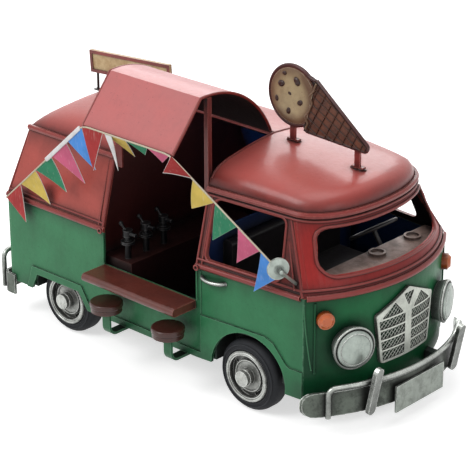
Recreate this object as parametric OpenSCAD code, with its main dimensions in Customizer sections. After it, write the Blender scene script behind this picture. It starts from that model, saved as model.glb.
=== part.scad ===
// Painted tin-plate model of a vintage ice-cream van.
// +X points forward, +Y to the van's own left, +Z up, millimetres.

/* [Body] */
// Width of the body at the waist
body_w = 136.8; // [132:0.2:142]
// Height of the sill's lower edge above the ground
sill_z = 22.5; // [21.5:0.1:23]
// Drop of the skins ahead of the front wheels below the sill
nose_drop = 3.6; // [2:0.1:4]
// Height of the waist above the ground
waist_z = 80; // [78:0.5:84]
// Height of the roof gutter above the ground
gutter_z = 121; // [119:0.5:124]
// How far each roof gutter stands in from the body's side
gutter_in = 15.4; // [14:0.2:17]
// Thickness of the tin sheet
sheet = 1.2; // [1:0.1:1.4]
// Distance from mid-wheelbase back to the tail at the waist
tail_x = 121.5; // [119:0.5:125]
// How far the tail leans forward up to the gutter
tail_lean = 5.8; // [4:0.2:8]
// Distance from mid-wheelbase forward to the nose at the waist
nose_x = 135; // [133:0.5:137]
// Radius of the nose in plan
nose_r = 100; // [98:1:103]
// How far the windscreen leans back up to the gutter
screen_lean = 17; // [15:0.5:19]
// How far each front corner of the cab stands in from the body's side
corner_in = 5.9; // [4.4:0.1:7]

/* [Roof] */
// Height of the roof's crown above the gutter
crown_h = 18.8; // [17:0.2:20]
// Share of the crown's height that the roof loses towards its sides
crown_fall = 0.43; // [0.36:0.01:0.5]

/* [Serving hatch] */
// Rear edge of the serving hatch
hatch_rear = -37; // [-39:0.5:-36]
// Front edge of the serving hatch
hatch_front = 38.5; // [37:0.5:40]
// How far the hatch's posts lean back from the waist up to the gutter
hatch_lean = 4.5; // [3:0.5:6]
// Height of the counter's top
counter_z = 57.8; // [56:0.2:60]
// Reach of the counter from the body's side
counter_d = 19; // [16:0.5:22]
// Thickness of the counter board
counter_t = 5; // [4:0.2:6]
// Radius of the raised lid's curve
lid_r = 57; // [55:0.5:59]
// Slope of the lid's straight flap in degrees
flap_slope = 50; // [46:1:54]
// Length of the lid's straight flap
flap_len = 35.6; // [32:0.5:38]

/* [Stools] */
// Radius of a stool's seat
seat_r = 9.8; // [8:0.2:11]
// Height of a stool's seat
seat_z = 43.4; // [42:0.2:45]
// Reach of the stools' centres from the body's side
stool_out = 13.6; // [12.6:0.2:16]

/* [Wheels] */
// Distance between the axles
wheelbase = 150; // [148:0.5:152]
// Outer radius of a tyre
tyre_r = 21.5; // [21:0.1:22]
// Width of a tyre
tyre_w = 13; // [12:0.5:14]
// Radius of the wheel's rim
rim_r = 14.4; // [13:0.1:15]
// Radius of the hub cap
hub_r = 4.7; // [4.2:0.1:5.4]
// Radius of an axle
axle_r = 2; // [1.6:0.1:2.4]
// Running clearance of a wheel on its axle
axle_gap = 0.05; // [0.02:0.01:0.1]
// How far the rear tyres' outer faces stand in from the body's side
rear_in = 3.6; // [3.2:0.2:5.4]
// How far the front tyres' outer faces stand in from the body's side
front_in = 2.4; // [2:0.1:3.4]

/* [Bumpers] */
// Radius of the front bumper blade in plan
blade_r = 106; // [105:0.5:108]
// Height of a bumper blade
blade_h = 15; // [13:0.5:17]
// Radius of a bumper's tube
tube_r = 1.6; // [1.2:0.1:2]

/* [Lamps and grille] */
// Radius of a headlamp
lamp_r = 12.6; // [11:0.2:13.2]
// Radius of a turn lamp
turn_r = 4.9; // [4:0.1:5.4]
// Number of openings on each side of the grille
grille_rows = 5; // [3:1:6]

/* [Signs] */
// Length of the roof board
board_l = 69; // [60:1:70]
// Height of the roof board
board_h = 14; // [12:0.5:16]
// Radius of the cone sign's scoop
scoop_r = 17.4; // [16:0.1:18]

/* [Bunting] */
// Width of a pennant
flag_w = 16.4; // [14:0.2:17]
// Length of a pennant
flag_h = 21; // [18:0.5:23]

/* [Hidden] */
$fn = 64;
fit = 0.3;
touch = 0.05;
half_w = body_w / 2;
half_g = half_w - gutter_in;
cab_front_half = half_w - corner_in;
rear_track = half_w - rear_in;
front_track = half_w - front_in;
stool_y = half_w + stool_out;
rear = -tail_x;
rear_top = rear + tail_lean;
axle_x = wheelbase / 2;
nose_c = nose_x - nose_r;
corner_x = nose_c + sqrt(nose_r * nose_r - cab_front_half * cab_front_half);
taper = (half_w - cab_front_half) / (corner_x - hatch_front);
side_slope = (half_w - half_g) / (gutter_z - waist_z);
tail_slope = tail_lean / (gutter_z - waist_z);
post_slope = hatch_lean / (gutter_z - waist_z);
roof_rear = hatch_rear - hatch_lean;
roof_front = hatch_front - hatch_lean;

// Outer face of the body's side above the waist
function side_y(x, z) = half_w - (z - waist_z) * side_slope
    - max(0, x - hatch_front + (z - waist_z) * post_slope) * taper;

// Front curve of the gutter: a squared ellipse from the pillars round the nose
pillar_lean = 21;
pillar_top_x = corner_x - pillar_lean;
pillar_top_y = half_g - (pillar_top_x - roof_front) * taper;
screen_top = nose_x - screen_lean;
brow_power = 2.15;
brow_reach = screen_top - pillar_top_x;

// Height of the counter, cabinet and floor
floor_z = sill_z + 1.5;
floor_t = 1.2;
cabinet_z = 62;

// Front bumper's centre and tube circle
blade_c = nose_x + 11 - blade_r;
blade_t = 1.5;
blade_z = 12;
rail_r = blade_r + tube_r + touch;
rail_z = 30;
rail_turn = 33.7;
blade_turn = 41.5;

// Rear bumper
tail_blade_x = rear - 6;
tail_blade_half = half_w + 1.6;
tail_rail_z = 38;
tail_rail_half = tail_blade_half - 3.5;

// Lid profile: the curve's centre and the fold where the flap begins
lid_c = [0.6 - half_g, gutter_z - 2];
fold_turn = 96;
flap_top = lid_c + lid_r * [cos(fold_turn), sin(fold_turn)];
flap_dir = [-cos(flap_slope), -sin(flap_slope)];
eave = flap_top + flap_len * flap_dir;
lid_end = 20.4;
lid_gap = 0.5;
lid_back = 3;
hinge_r = 1.5;

// Whole model centred over the ground
x_max = blade_c + rail_r + tube_r;
x_min = tail_blade_x - blade_t - touch - 2 * tube_r;
hub_out = 4.9;
y_max = front_track + hub_out;
y_min = -stool_y - seat_r;
centre_shift = [-(x_max + x_min) / 2, -(y_max + y_min) / 2, 0];

body_red = [0.71, 0.34, 0.31];
body_green = [0.27, 0.53, 0.38];
dark_green = [0.16, 0.3, 0.22];
silver = [0.72, 0.74, 0.72];
brown = [0.4, 0.21, 0.18];
black = [0.16, 0.16, 0.18];
orange = [0.85, 0.43, 0.16];
cream = [0.85, 0.79, 0.6];
navy = [0.15, 0.25, 0.45];
flag_red = [0.72, 0.32, 0.3];
flag_yellow = [0.88, 0.8, 0.48];
flag_green = [0.32, 0.6, 0.46];
flag_pink = [0.86, 0.5, 0.6];
flag_blue = [0.42, 0.63, 0.9];

module on_floor() translate(centre_shift) children();

// Turns a drawing in X and Z into a slab along Y, centred on the middle plane
module through_y(depth) rotate([90, 0, 0]) linear_extrude(height = depth, center = true) children();

// Turns a drawing in Y and Z into a slab along X from x0 to x1
module along_x(x0, x1) translate([x0, 0, 0]) rotate([90, 0, 90]) linear_extrude(height = x1 - x0) children();

module right_half() intersection() {
    children();
    translate([-300, -300, -50]) cube([600, 300, 400]);
}

module both_sides() {
    children();
    mirror([0, 1, 0]) children();
}

module round_box(size, r) translate([r, r]) {
    translate([-r, 0]) square([size[0], size[1] - 2 * r]);
    translate([0, -r]) square([size[0] - 2 * r, size[1]]);
    for (x = [0, size[0] - 2 * r], y = [0, size[1] - 2 * r]) translate([x, y]) circle(r = r);
}

// Corner of a polygon at p rounded by r, between its neighbours a and b, anticlockwise
function corner_arc(a, p, b, r) = let (u = unit(a - p), v = unit(b - p), half = acos(u * v) / 2,
    c = p + unit(u + v) * r / sin(half), turn = 90 - half, mid = atan2(-(u + v)[1], -(u + v)[0]))
    [for (i = [-2:2]) c + r * [cos(mid + turn * i / 2), sin(mid + turn * i / 2)]];
module rounded_polygon(points, r) {
    n = len(points);
    polygon([for (i = [0:n - 1]) each corner_arc(points[(i + n - 1) % n], points[i], points[(i + 1) % n], r)]);
}
function unit(v) = v / norm(v);

// Two triangles of a four-sided face
function two(a, b, c, d) = [[a, b, c], [a, c, d]];

// Closed sheet between an outer and an inner grid of points, rows by columns
module sheet_between(outer, inner) {
    m = len(outer);
    n = len(outer[0]);
    k = m * n;
    points = [for (grid = [outer, inner]) for (row = grid) each row];
    faces = [
        for (i = [0:m - 2], j = [0:n - 2]) each two(i * n + j, i * n + j + 1, (i + 1) * n + j + 1, (i + 1) * n + j),
        for (i = [0:m - 2], j = [0:n - 2])
            each two(k + (i + 1) * n + j, k + (i + 1) * n + j + 1, k + i * n + j + 1, k + i * n + j),
        for (j = [0:n - 2]) each two(j + 1, j, k + j, k + j + 1),
        for (j = [0:n - 2]) let (e = (m - 1) * n + j) each two(e, e + 1, k + e + 1, k + e),
        for (i = [0:m - 2]) let (e = i * n) each two(e, e + n, k + e + n, k + e),
        for (i = [0:m - 2]) let (e = i * n + n - 1) each two(e + n, e, k + e, k + e + n)];
    polyhedron(points, faces, convexity = 6);
}

// Closed bar through a list of rings of points
module bar_through(rings) {
    m = len(rings);
    n = len(rings[0]);
    faces = [
        for (i = [0:m - 2], j = [0:n - 1])
            let (j2 = (j + 1) % n) each two(i * n + j, i * n + j2, (i + 1) * n + j2, (i + 1) * n + j),
        [for (j = [n - 1:-1:0]) j],
        [for (j = [0:n - 1]) (m - 1) * n + j]];
    polyhedron([for (ring = rings) each ring], faces, convexity = 6);
}

// Outline of the body in plan, drawn in by inset
module plan(inset = 0) {
    front = nose_x + 10;
    intersection() {
        polygon([for (s = [-1, 1]) each let (p = [[rear + inset, half_w - inset], [hatch_front, half_w - inset],
            [front, half_w - inset - (front - hatch_front) * taper]]) s < 0 ? [for (q = p) [q[0], -q[1]]] :
            [for (q = [p[2], p[1], p[0]]) q]]);
        union() {
            translate([nose_c, 0]) circle(r = nose_r - inset, $fn = 128);
            translate([rear - 10, -body_w]) square([nose_c - rear + 10, 2 * body_w]);
        }
    }
}

module lower_shell(low = sill_z) translate([0, 0, low]) linear_extrude(height = waist_z - low) intersection() {
    difference() {
        plan();
        plan(sheet);
    }
    children();
}

// Cut for a rear wheel in the lower side, with slanted ends
rear_arch_foot = [-27, 22.5];
rear_arch_top = [-22, 15];
rear_arch_h = 10.5;
module rear_arch(grow = 0) translate([-axle_x, sill_z]) polygon([
    [rear_arch_foot[0] - grow, -5], [rear_arch_foot[0] - grow, 0], [rear_arch_top[0] - grow, rear_arch_h + grow],
    [rear_arch_top[1] + grow / 2, rear_arch_h + grow], [rear_arch_foot[1] + grow, 0], [rear_arch_foot[1] + grow, -5]]);

front_arch_r = tyre_r + 4.8;
module front_arch() translate([axle_x + 0.5, tyre_r]) circle(r = front_arch_r);

// Pressed lower flange: lip over the rear arch, hem along the sill, front wing
flange_t = 0.8;
lip = 4.5;
hem = 4;
wing_z = 50;
wing_low_z = 35.5;
nose_low_z = sill_z - nose_drop;
module under_sill() translate([-200, 0]) square([200 + axle_x, sill_z]);
module flange_shape() difference() {
    union() {
        rear_arch(lip);
        translate([-axle_x, sill_z]) square([wheelbase, hem]);
        polygon([[hatch_front + 3, sill_z], [hatch_front + 3, wing_z], [axle_x + 12, wing_z], [axle_x + 18, wing_z - 2.5],
            [axle_x + 27.5, wing_low_z + 1], [axle_x + 30, wing_low_z], [corner_x - touch, wing_low_z],
            [corner_x - touch, nose_low_z], [axle_x, nose_low_z]]);
    }
    rear_arch();
    front_arch();
    under_sill();
}

module lower_side() {
    difference() {
        lower_shell(nose_low_z) translate([rear + sheet + touch, -body_w])
            square([corner_x - rear - sheet - 2 * touch, body_w]);
        through_y(3 * body_w) {
            under_sill();
            rear_arch();
            front_arch();
        }
    }
    intersection() {
        translate([0, 0, nose_low_z]) linear_extrude(height = waist_z - nose_low_z) difference() {
            plan(-flange_t);
            plan(sheet / 2);
        }
        translate([0, -half_w, 0]) through_y(half_w) flange_shape();
    }
}

module side_lower_right() color(body_green) on_floor() difference() {
    lower_side();
    translate([hatch_rear, -body_w, counter_z]) cube([hatch_front - hatch_rear, body_w, waist_z]);
}

module side_lower_left() color(body_green) on_floor() mirror([0, 1, 0]) lower_side();

module nose_panel() color(body_green) on_floor() lower_shell(nose_low_z)
    translate([corner_x, -body_w]) square([100, 2 * body_w]);

module tail_lower() color(body_green) on_floor() lower_shell()
    translate([rear - 1, -body_w]) square([sheet + 1, 2 * body_w]);

// Floor with a box over each wheel and a block for each axle
well_half = tyre_r + 2;
well_top = 2 * tyre_r + 3;
module well(x, inner, outer, grow) translate([x - well_half - grow, inner - grow, 0])
    cube([2 * (well_half + grow), outer - inner + 2 * grow, well_top + grow]);
well_table = [for (x = [-axle_x, axle_x]) [x, (x < 0 ? rear_track : front_track) - tyre_w - 3]];
module floor_pan() color(dark_green) on_floor() {
    difference() {
        union() {
            translate([0, 0, floor_z]) linear_extrude(height = floor_t) plan(sheet);
            intersection() {
                both_sides() for (w = well_table) well(w[0], w[1], half_w, sheet);
                translate([0, 0, floor_z]) linear_extrude(height = 100) plan(sheet);
            }
        }
        both_sides() for (w = well_table) well(w[0], w[1], half_w + 1, 0);
    }
    block = [9, 6, floor_z - tyre_r + axle_r + 1.2];
    difference() {
        both_sides() for (w = well_table) translate([w[0] - block[0] / 2, w[1] - sheet - block[1] - 1, floor_z - block[2]])
            cube(block);
        for (x = [-axle_x, axle_x]) translate([x, 0, tyre_r]) rotate([90, 0, 0])
            cylinder(r = axle_r, h = body_w, center = true);
    }
}

// Leaning block of the body between waist and gutter, behind the cab
module upper_block(side_in, rear_in, over = 0) {
    z0 = waist_z - over;
    z1 = gutter_z + over;
    y0 = half_w - side_in + over * side_slope;
    y1 = half_g - side_in - over * side_slope;
    x0 = rear + rear_in - over * tail_slope;
    x1 = rear_top + rear_in + over * tail_slope;
    f0 = hatch_front + over + over * post_slope;
    f1 = roof_front + over - over * post_slope;
    polyhedron([[x0, -y0, z0], [x0, y0, z0], [f0, y0, z0], [f0, -y0, z0],
        [x1, -y1, z1], [x1, y1, z1], [f1, y1, z1], [f1, -y1, z1]],
        [[0, 3, 2, 1], [4, 5, 6, 7], [0, 1, 5, 4], [1, 2, 6, 5], [2, 3, 7, 6], [3, 0, 4, 7]]);
}

module upper_sides() difference() {
    upper_block(0, sheet);
    upper_block(sheet, sheet - 2, 2);
}

module side_upper_right() color(body_red) on_floor() intersection() {
    upper_sides();
    translate([0, -half_w, 0]) through_y(half_w) polygon([[rear - 5, waist_z - 1], [rear - 5, gutter_z + 1],
        [roof_rear - post_slope, gutter_z + 1], [hatch_rear + post_slope, waist_z - 1]]);
}

module side_upper_left() color(body_red) on_floor() intersection() {
    upper_sides();
    translate([rear - 5, 0, 0]) cube([400, body_w, 300]);
}

tail_window = [62, 24];
module tail_upper() color(body_red) on_floor() difference() {
    upper_block(0, 0);
    upper_block(-5, sheet, 2);
    along_x(rear - 5, 0) translate([-tail_window[0] / 2, (waist_z + gutter_z - tail_window[1]) / 2])
        round_box(tail_window, 5);
}

// Cab side between the hatch's front post and the windscreen pillar
pillar_gap = 1.4;
module cab_block(side_in, over = 0) {
    lean = pillar_lean / (gutter_z - waist_z);
    levels = [[waist_z - over, half_w + over * side_slope, corner_x + over * lean, hatch_front + over * post_slope],
        [gutter_z + over, half_g - over * side_slope, pillar_top_x - over * lean, roof_front - over * post_slope]];
    points = [for (q = levels) let (xr = q[3] - over, xf = q[2] - pillar_gap + over,
        yr = q[1] - side_in + over * taper, yf = q[1] - side_in - (xf - q[3]) * taper)
        each [[xr, -yr, q[0]], [xr, yr, q[0]], [xf, yf, q[0]], [xf, -yf, q[0]]]];
    polyhedron(points, [[0, 3, 2, 1], [4, 5, 6, 7], [0, 1, 5, 4], [1, 2, 6, 5], [2, 3, 7, 6], [3, 0, 4, 7]]);
}

// Door window: lower and upper edges as back end, front end and height
window_low = [hatch_front + 5.5, corner_x - 17.6, waist_z + 4.5];
window_top = [roof_front + 6.5, pillar_top_x - 2.6, gutter_z - 4.5];
window_r = 4;
module cab_side() difference() {
    right_half() difference() {
        cab_block(0);
        cab_block(sheet, 2);
    }
    through_y(3 * body_w) rounded_polygon([[window_low[0], window_low[2]], [window_low[1], window_low[2]],
        [window_top[1], window_top[2]], [window_top[0], window_top[2]]], window_r);
}

module cab_side_right() color(body_red) on_floor() cab_side();
module cab_side_left() color(body_red) on_floor() mirror([0, 1, 0]) cab_side();

// Curves of the windscreen panel: t runs from -1 at the right pillar to 1 at the left
corner_turn = asin(cab_front_half / nose_r);
function belt(t, inset) = [nose_c + (nose_r - inset) * cos(t * corner_turn),
    (nose_r - inset) * sin(t * corner_turn), waist_z];
function brow(t, inset) = [pillar_top_x + (brow_reach - inset) * pow(cos(t * 90), 2 / brow_power),
    sign(t) * (pillar_top_y - inset) * pow(abs(sin(t * 90)), 2 / brow_power), gutter_z];
screen_steps = [for (i = [-20:20]) i / 20];
function screen_grid(inset) = [for (t = screen_steps) [belt(t, inset), brow(t, inset)]];

// Windscreen opening: half widths and heights of its lower and upper edges
screen_low = [cab_front_half - 11, waist_z + 10];
screen_top_edge = [pillar_top_y - 3.4, gutter_z - 7];
screen_r = 7;
module screen_opening() along_x(axle_x, nose_x + 20) rounded_polygon([[-screen_low[0], screen_low[1]],
    [screen_low[0], screen_low[1]], [screen_top_edge[0], screen_top_edge[1]],
    [-screen_top_edge[0], screen_top_edge[1]]], screen_r);
module screen_frame() color(body_red) on_floor() difference() {
    sheet_between(screen_grid(0), screen_grid(sheet));
    screen_opening();
}

// Roof: a crown that falls to its sides and rounds over sharply at the gutter
edge_power = 12;
crown_power = 1.4;
front_crown_x = roof_front + 7;
rear_crown_x = -60;
function rounded(s) = sqrt(max(0, 1 - pow(min(1, abs(s)), edge_power)));
function crowned(a, b) = 1 - crown_fall * pow(min(1.4, sqrt(a * a + b * b)), crown_power);
function roof_half(x) = x <= roof_front ? half_g : x <= pillar_top_x ? half_g - (x - roof_front) * taper :
    pillar_top_y * pow(max(0, 1 - pow((x - pillar_top_x) / brow_reach, brow_power)), 1 / brow_power);
function brow_norm(x, y) = x <= pillar_top_x ? abs(y) / roof_half(x) :
    pow(pow(abs(y) / pillar_top_y, brow_power) + pow((x - pillar_top_x) / brow_reach, brow_power), 1 / brow_power);
function cab_roof_h(x, y) = crown_h * rounded(brow_norm(x, y))
    * crowned(abs(y) / half_g, max(0, x - front_crown_x) / (screen_top - front_crown_x));
function rear_roof_h(x, y) = let (tail = max(0, rear_crown_x - x) / (rear_crown_x - rear_top))
    crown_h * rounded(y / half_g) * rounded(tail) * crowned(abs(y) / half_g, tail);

// Stations across the roof, closer together where it rounds over
half_stations = [0, 0.2, 0.4, 0.58, 0.74, 0.86, 0.93, 0.97, 0.992, 1];
across = [for (i = [len(half_stations) - 1:-1:1]) -half_stations[i], each half_stations];

// Grid over stations: outer and inner skins, the inner one drawn in from the free edges
function cab_grid(k, inset) = [for (u = k) let (x = roof_front + u * (screen_top - roof_front) * 0.9996)
    [for (s = across) let (w = roof_half(x), y = s * w, f = (screen_top - roof_front - inset) / (screen_top - roof_front))
        [roof_front + (x - roof_front) * f, y * (half_g - inset) / half_g,
            gutter_z + cab_roof_h(x, y) * (crown_h - inset) / crown_h]]];
function rear_grid(xs, row, inset) = [for (x = xs) let (f = (roof_rear - rear_top - inset) / (roof_rear - rear_top))
    [for (s = row) let (y = s * half_g)
        [roof_rear + (x - roof_rear) * f, y * (half_g - inset) / half_g,
            gutter_z + rear_roof_h(x, y) * (crown_h - inset) / crown_h]]];

cab_stations = [0, 0.15, 0.3, 0.45, 0.58, 0.69, 0.78, 0.855, 0.91, 0.95, 0.975, 0.99, 0.997, 1];
module cab_roof() color(body_red) on_floor() sheet_between(cab_grid(cab_stations, 0), cab_grid(cab_stations, sheet));

rear_stations = [for (u = [0, 0.22, 0.42, 0.6, 0.75, 0.86, 0.925, 0.965, 0.99, 1]) rear_crown_x - u * (rear_crown_x - rear_top)];
rear_xs = concat([roof_rear], rear_stations);
left_to_right = [for (s = across) -s];
module rear_roof() color(body_red) on_floor()
    sheet_between(rear_grid(rear_xs, left_to_right, 0), rear_grid(rear_xs, left_to_right, sheet));

// Fixed left part of the roof beside the raised lid
left_edge = lid_c[0] + (lid_r - sheet / 2) * cos(lid_end) + hinge_r + fit;
function left_grid(inset) = [for (x = [roof_rear, roof_front]) [for (s = half_stations)
    let (y = left_edge + s * (half_g - left_edge)) [x, left_edge + s * (half_g - left_edge - inset),
        gutter_z + cab_roof_h(roof_front, y) * (crown_h - inset) / crown_h]]];
module left_roof() color(body_red) on_floor() sheet_between(left_grid(0), left_grid(sheet));

// Drip rail along the gutter: outward and upward places of its section
rail_section = [[0.1, 1.6], [1.6, 1.6], [2.4, 0.2], [2, -1.2], [0.8, -1.2], [0.1, 0]];
brow_path = [for (t = screen_steps) let (p = brow(t, 0)) [p[0], p[1]]];
main_path = concat([[roof_front, -half_g]], brow_path, [[roof_front, half_g], [rear_top, half_g]]);
module rail_along(path) bar_through([for (i = [0:len(path) - 1])
    let (a = path[max(0, i - 1)], b = path[min(len(path) - 1, i + 1)], d = (b - a) / norm(b - a), out = [d[1], -d[0]])
    [for (q = rail_section) [path[i][0] + out[0] * q[0], path[i][1] + out[1] * q[0], gutter_z + q[1]]]]);
module drip_rail() color(body_red) on_floor() {
    rail_along(main_path);
    rail_along([[rear_top, -half_g], [roof_rear, -half_g]]);
}

// Half-round bead along the waist and round the nose
bead_r = 1.7;
module half_bead(length) intersection() {
    rotate([0, 90, 0]) cylinder(r = bead_r, h = length);
    translate([-1, -2 * bead_r, -2 * bead_r]) cube([length + 2, 2 * bead_r, 4 * bead_r]);
}
cab_turn = atan(taper);
cab_run = (corner_x - hatch_front) / cos(cab_turn);
module side_bead() {
    translate([hatch_front, -half_w, waist_z]) rotate([0, 0, cab_turn]) half_bead(cab_run - 2);
}
module waist_bead() color(body_red) on_floor() {
    translate([rear, -half_w, waist_z]) half_bead(hatch_rear - rear + 1);
    side_bead();
    mirror([0, 1, 0]) {
        translate([rear, -half_w, waist_z]) half_bead(hatch_front - rear - fit);
        side_bead();
    }
    translate([nose_c, 0, waist_z]) rotate([0, 0, -corner_turn + 1]) rotate_extrude(angle = 2 * corner_turn - 2)
        translate([nose_r, 0]) intersection() {
            circle(r = bead_r);
            translate([0, -bead_r]) square(2 * bead_r);
        }
}

// Raised lid: a curve from the hinge, a fold, then the straight flap
module arc_strip(r, a0, a1) intersection() {
    difference() {
        circle(r = r, $fn = 128);
        circle(r = r - sheet, $fn = 128);
    }
    polygon(concat([[0, 0]], [for (i = [0:4]) 2 * r * [cos(a0 + (a1 - a0) * i / 4), sin(a0 + (a1 - a0) * i / 4)]]));
}
module lid() color(body_red) on_floor() along_x(roof_rear + lid_back, roof_front - lid_gap) {
    translate(lid_c) arc_strip(lid_r, lid_end, fold_turn);
    translate(flap_top) rotate(180 + flap_slope) square([flap_len, sheet]);
    translate(lid_c + (lid_r - sheet / 2) * [cos(lid_end), sin(lid_end)]) circle(r = hinge_r);
}

// Angle posts that hold the lid up at both ends of the hatch
strut_w = 3;
strut_foot = 6;
post_gap = strut_foot * post_slope + touch;
strut_y = half_g - 1;
strut_top = lid_c[1] + sqrt(pow(lid_r - sheet, 2) - pow(strut_w + 0.2, 2)) - fit;
module strut(x, w) translate([x, -strut_y - strut_w / 2, gutter_z - strut_foot]) difference() {
    cube([w, strut_w, strut_top - gutter_z + strut_foot]);
    translate([sheet, sheet, -1]) cube([w, strut_w, 200]);
}
module lid_struts() color(body_red) on_floor() {
    strut(roof_rear + post_gap, lid_back + strut_w - post_gap);
    translate([2 * roof_front, 0, 0]) mirror([1, 0, 0]) strut(roof_front, strut_w);
}

module counter() color(brown) on_floor() {
    r = counter_t / 2;
    along_x(hatch_rear, hatch_front - 1) translate([-half_w, counter_z]) {
        translate([-counter_d + r, -counter_t]) square([counter_d - r, counter_t]);
        translate([-counter_d + r, -r]) circle(r = r);
    }
}

stool_table = [-22, 28.5];
seat_layers = [[seat_r - 0.5, 2.5], [seat_r, 3.5]];
module stool_seats() color(brown) on_floor() for (x = stool_table) translate([x, -stool_y, seat_z]) {
    translate([0, 0, -seat_layers[1][1]]) rotate_extrude() intersection() {
        translate([-seat_r, 0]) round_box([2 * seat_r, seat_layers[1][1]], 1);
        square([seat_r, 10]);
    }
    translate([0, 0, -seat_layers[0][1] - seat_layers[1][1]]) cylinder(r = seat_layers[0][0], h = seat_layers[0][1]);
}

// Flat bars from under the sill, out and up to the seats
bracket_w = 6;
bracket_t = 1.5;
bracket_bend = 6;
module stool_brackets() color(body_green) on_floor() {
    seat_foot = seat_z - seat_layers[0][1] - seat_layers[1][1];
    turn_z = sill_z - bracket_t + bracket_bend;
    for (x = stool_table) along_x(x - bracket_w / 2, x + bracket_w / 2) {
        translate([-stool_y + bracket_bend - bracket_t / 2, sill_z - bracket_t])
            square([stool_y - bracket_bend - half_w + 10, bracket_t]);
        translate([-stool_y - bracket_t / 2, turn_z]) square([bracket_t, seat_foot - turn_z]);
        translate([-stool_y + bracket_bend - bracket_t / 2, turn_z]) intersection() {
            difference() {
                circle(r = bracket_bend);
                circle(r = bracket_bend - bracket_t);
            }
            translate([-bracket_bend, -bracket_bend]) square(bracket_bend);
        }
    }
}

// Walls across the inside, clear of the skins by a small gap
module inner_wall(top_z) {
    y0 = half_w - sheet - fit;
    y1 = y0 - max(0, top_z - waist_z) * side_slope;
    polygon([[-y0, floor_z + floor_t], [y0, floor_z + floor_t], [y0, waist_z], [y1, top_z], [-y1, top_z], [-y0, waist_z]]);
}
partition_x = roof_rear - 1;
module rear_partition() color(body_red) on_floor() along_x(partition_x - sheet, partition_x) {
    w = half_g - 3 * sheet;
    inner_wall(gutter_z - 2 * sheet);
    polygon(concat([[w, gutter_z - 3 * sheet], [-w, gutter_z - 3 * sheet]], [for (s = across) [s * w,
        gutter_z + rear_roof_h(roof_rear, s * half_g) * (crown_h - sheet) / crown_h - (abs(s) > 0.99 ? 0 : fit)]]));
}
bulkhead_top = 97;
module cab_bulkhead() color(navy) on_floor() along_x(hatch_front, hatch_front + sheet) intersection() {
    y0 = half_w - sheet - 2 * fit;
    inner_wall(bulkhead_top);
    translate([-y0, floor_z + floor_t]) round_box([2 * y0, bulkhead_top - floor_z - floor_t], 8);
}

cabinet_d = 24;
module cabinet() color(brown) on_floor() translate([partition_x, -half_w + sheet + 3, floor_z + floor_t])
    cube([cabinet_d, body_w * 0.75, cabinet_z - floor_z - floor_t]);

// Row of dispensing taps on the cabinet
tap_table = [for (i = [0:2]) -half_w + 9.4 + 15 * i];
tap_x = partition_x + cabinet_d - 8;
module taps() color(silver) on_floor() for (y = tap_table) translate([tap_x, y, cabinet_z]) {
    cylinder(r = 1.9, h = 14.5);
    translate([0, 0, 9.5]) cylinder(r = 4.2, h = 1.6);
    translate([0, 0, 14]) cylinder(r = 3, h = 4);
    translate([0, 0, 16]) rotate([0, 90, 0]) cylinder(r = 1.1, h = 7);
    translate([0, 0, 16]) rotate([0, -50, 0]) cylinder(r = 0.9, h = 7);
    translate([0, 0, 16]) rotate([0, -50, 0]) translate([0, 0, 7]) sphere(r = 1.5);
}

seat_back_x = hatch_front + sheet + fit;
bench_w = 2 * (well_table[1][1] - sheet - 1);
module bench_seat() color(black) on_floor() translate([seat_back_x, 0, 0]) rotate([90, 0, 0])
    linear_extrude(height = bench_w, center = true) {
        translate([0, floor_z + floor_t]) square([26, 50 - floor_z - floor_t]);
        translate([0, 46]) round_box([34, 12], 3);
        translate([0, 46]) round_box([7, 44], 3);
    }

dash_z = [waist_z - 12, waist_z + 6];
dash_rear = 106;
gauge_table = [2, 34];
module dashboard() color(silver) on_floor() {
    translate([0, 0, dash_z[0]]) linear_extrude(height = waist_z - dash_z[0]) intersection() {
        plan(sheet + fit);
        translate([dash_rear, -body_w]) square([60, 2 * body_w]);
    }
    intersection() {
        translate([0, 0, waist_z]) linear_extrude(height = dash_z[1] - waist_z) intersection() {
            translate([nose_c - 4, 0]) circle(r = nose_r - 2, $fn = 128);
            translate([dash_rear, -cab_front_half + 9]) square([60, 2 * (cab_front_half - 9)]);
        }
        translate([dash_rear, -body_w, waist_z - 1]) cube([100, 2 * body_w, 50]);
    }
    for (y = gauge_table) translate([dash_rear + 6, y, dash_z[1]]) difference() {
        cylinder(r = 5, h = 1.5);
        translate([0, 0, 0.5]) cylinder(r = 3.8, h = 2);
    }
}

// Steering wheel on its column behind the dashboard
wheel_y = 20;
wheel_z = waist_z + 10.5;
wheel_tilt = -33;
wheel_back = 11.5;
wheel_r = 14;
column_l = (wheel_back - 0.9) / sin(-wheel_tilt);
module steering_wheel() color(black) on_floor() translate([dash_rear - wheel_back, wheel_y, wheel_z]) rotate([0, wheel_tilt, 0]) {
    rotate_extrude() translate([wheel_r, 0]) circle(r = 1.1);
    for (a = [50, 170, 290]) rotate([0, 90, a]) cylinder(r = 0.7, h = wheel_r - 0.4);
    cylinder(r = 2.6, h = 2, center = true);
    translate([0, 0, -column_l]) cylinder(r = 1.4, h = column_l);
}

blade_half = blade_r * sin(blade_turn);
blade_end_r = 6;
module front_blade() color(silver) on_floor() intersection() {
    translate([blade_c, 0, 0]) difference() {
        cylinder(r = blade_r, h = blade_z + blade_h + 1, $fn = 128);
        translate([0, 0, -1]) cylinder(r = blade_r - blade_t, h = blade_z + blade_h + 3, $fn = 128);
    }
    along_x(axle_x, nose_x + 30) rounded_polygon([[-blade_half, blade_z], [blade_half, blade_z],
        [blade_half, blade_z + blade_h], [-blade_half, blade_z + blade_h]], blade_end_r);
}

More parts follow.
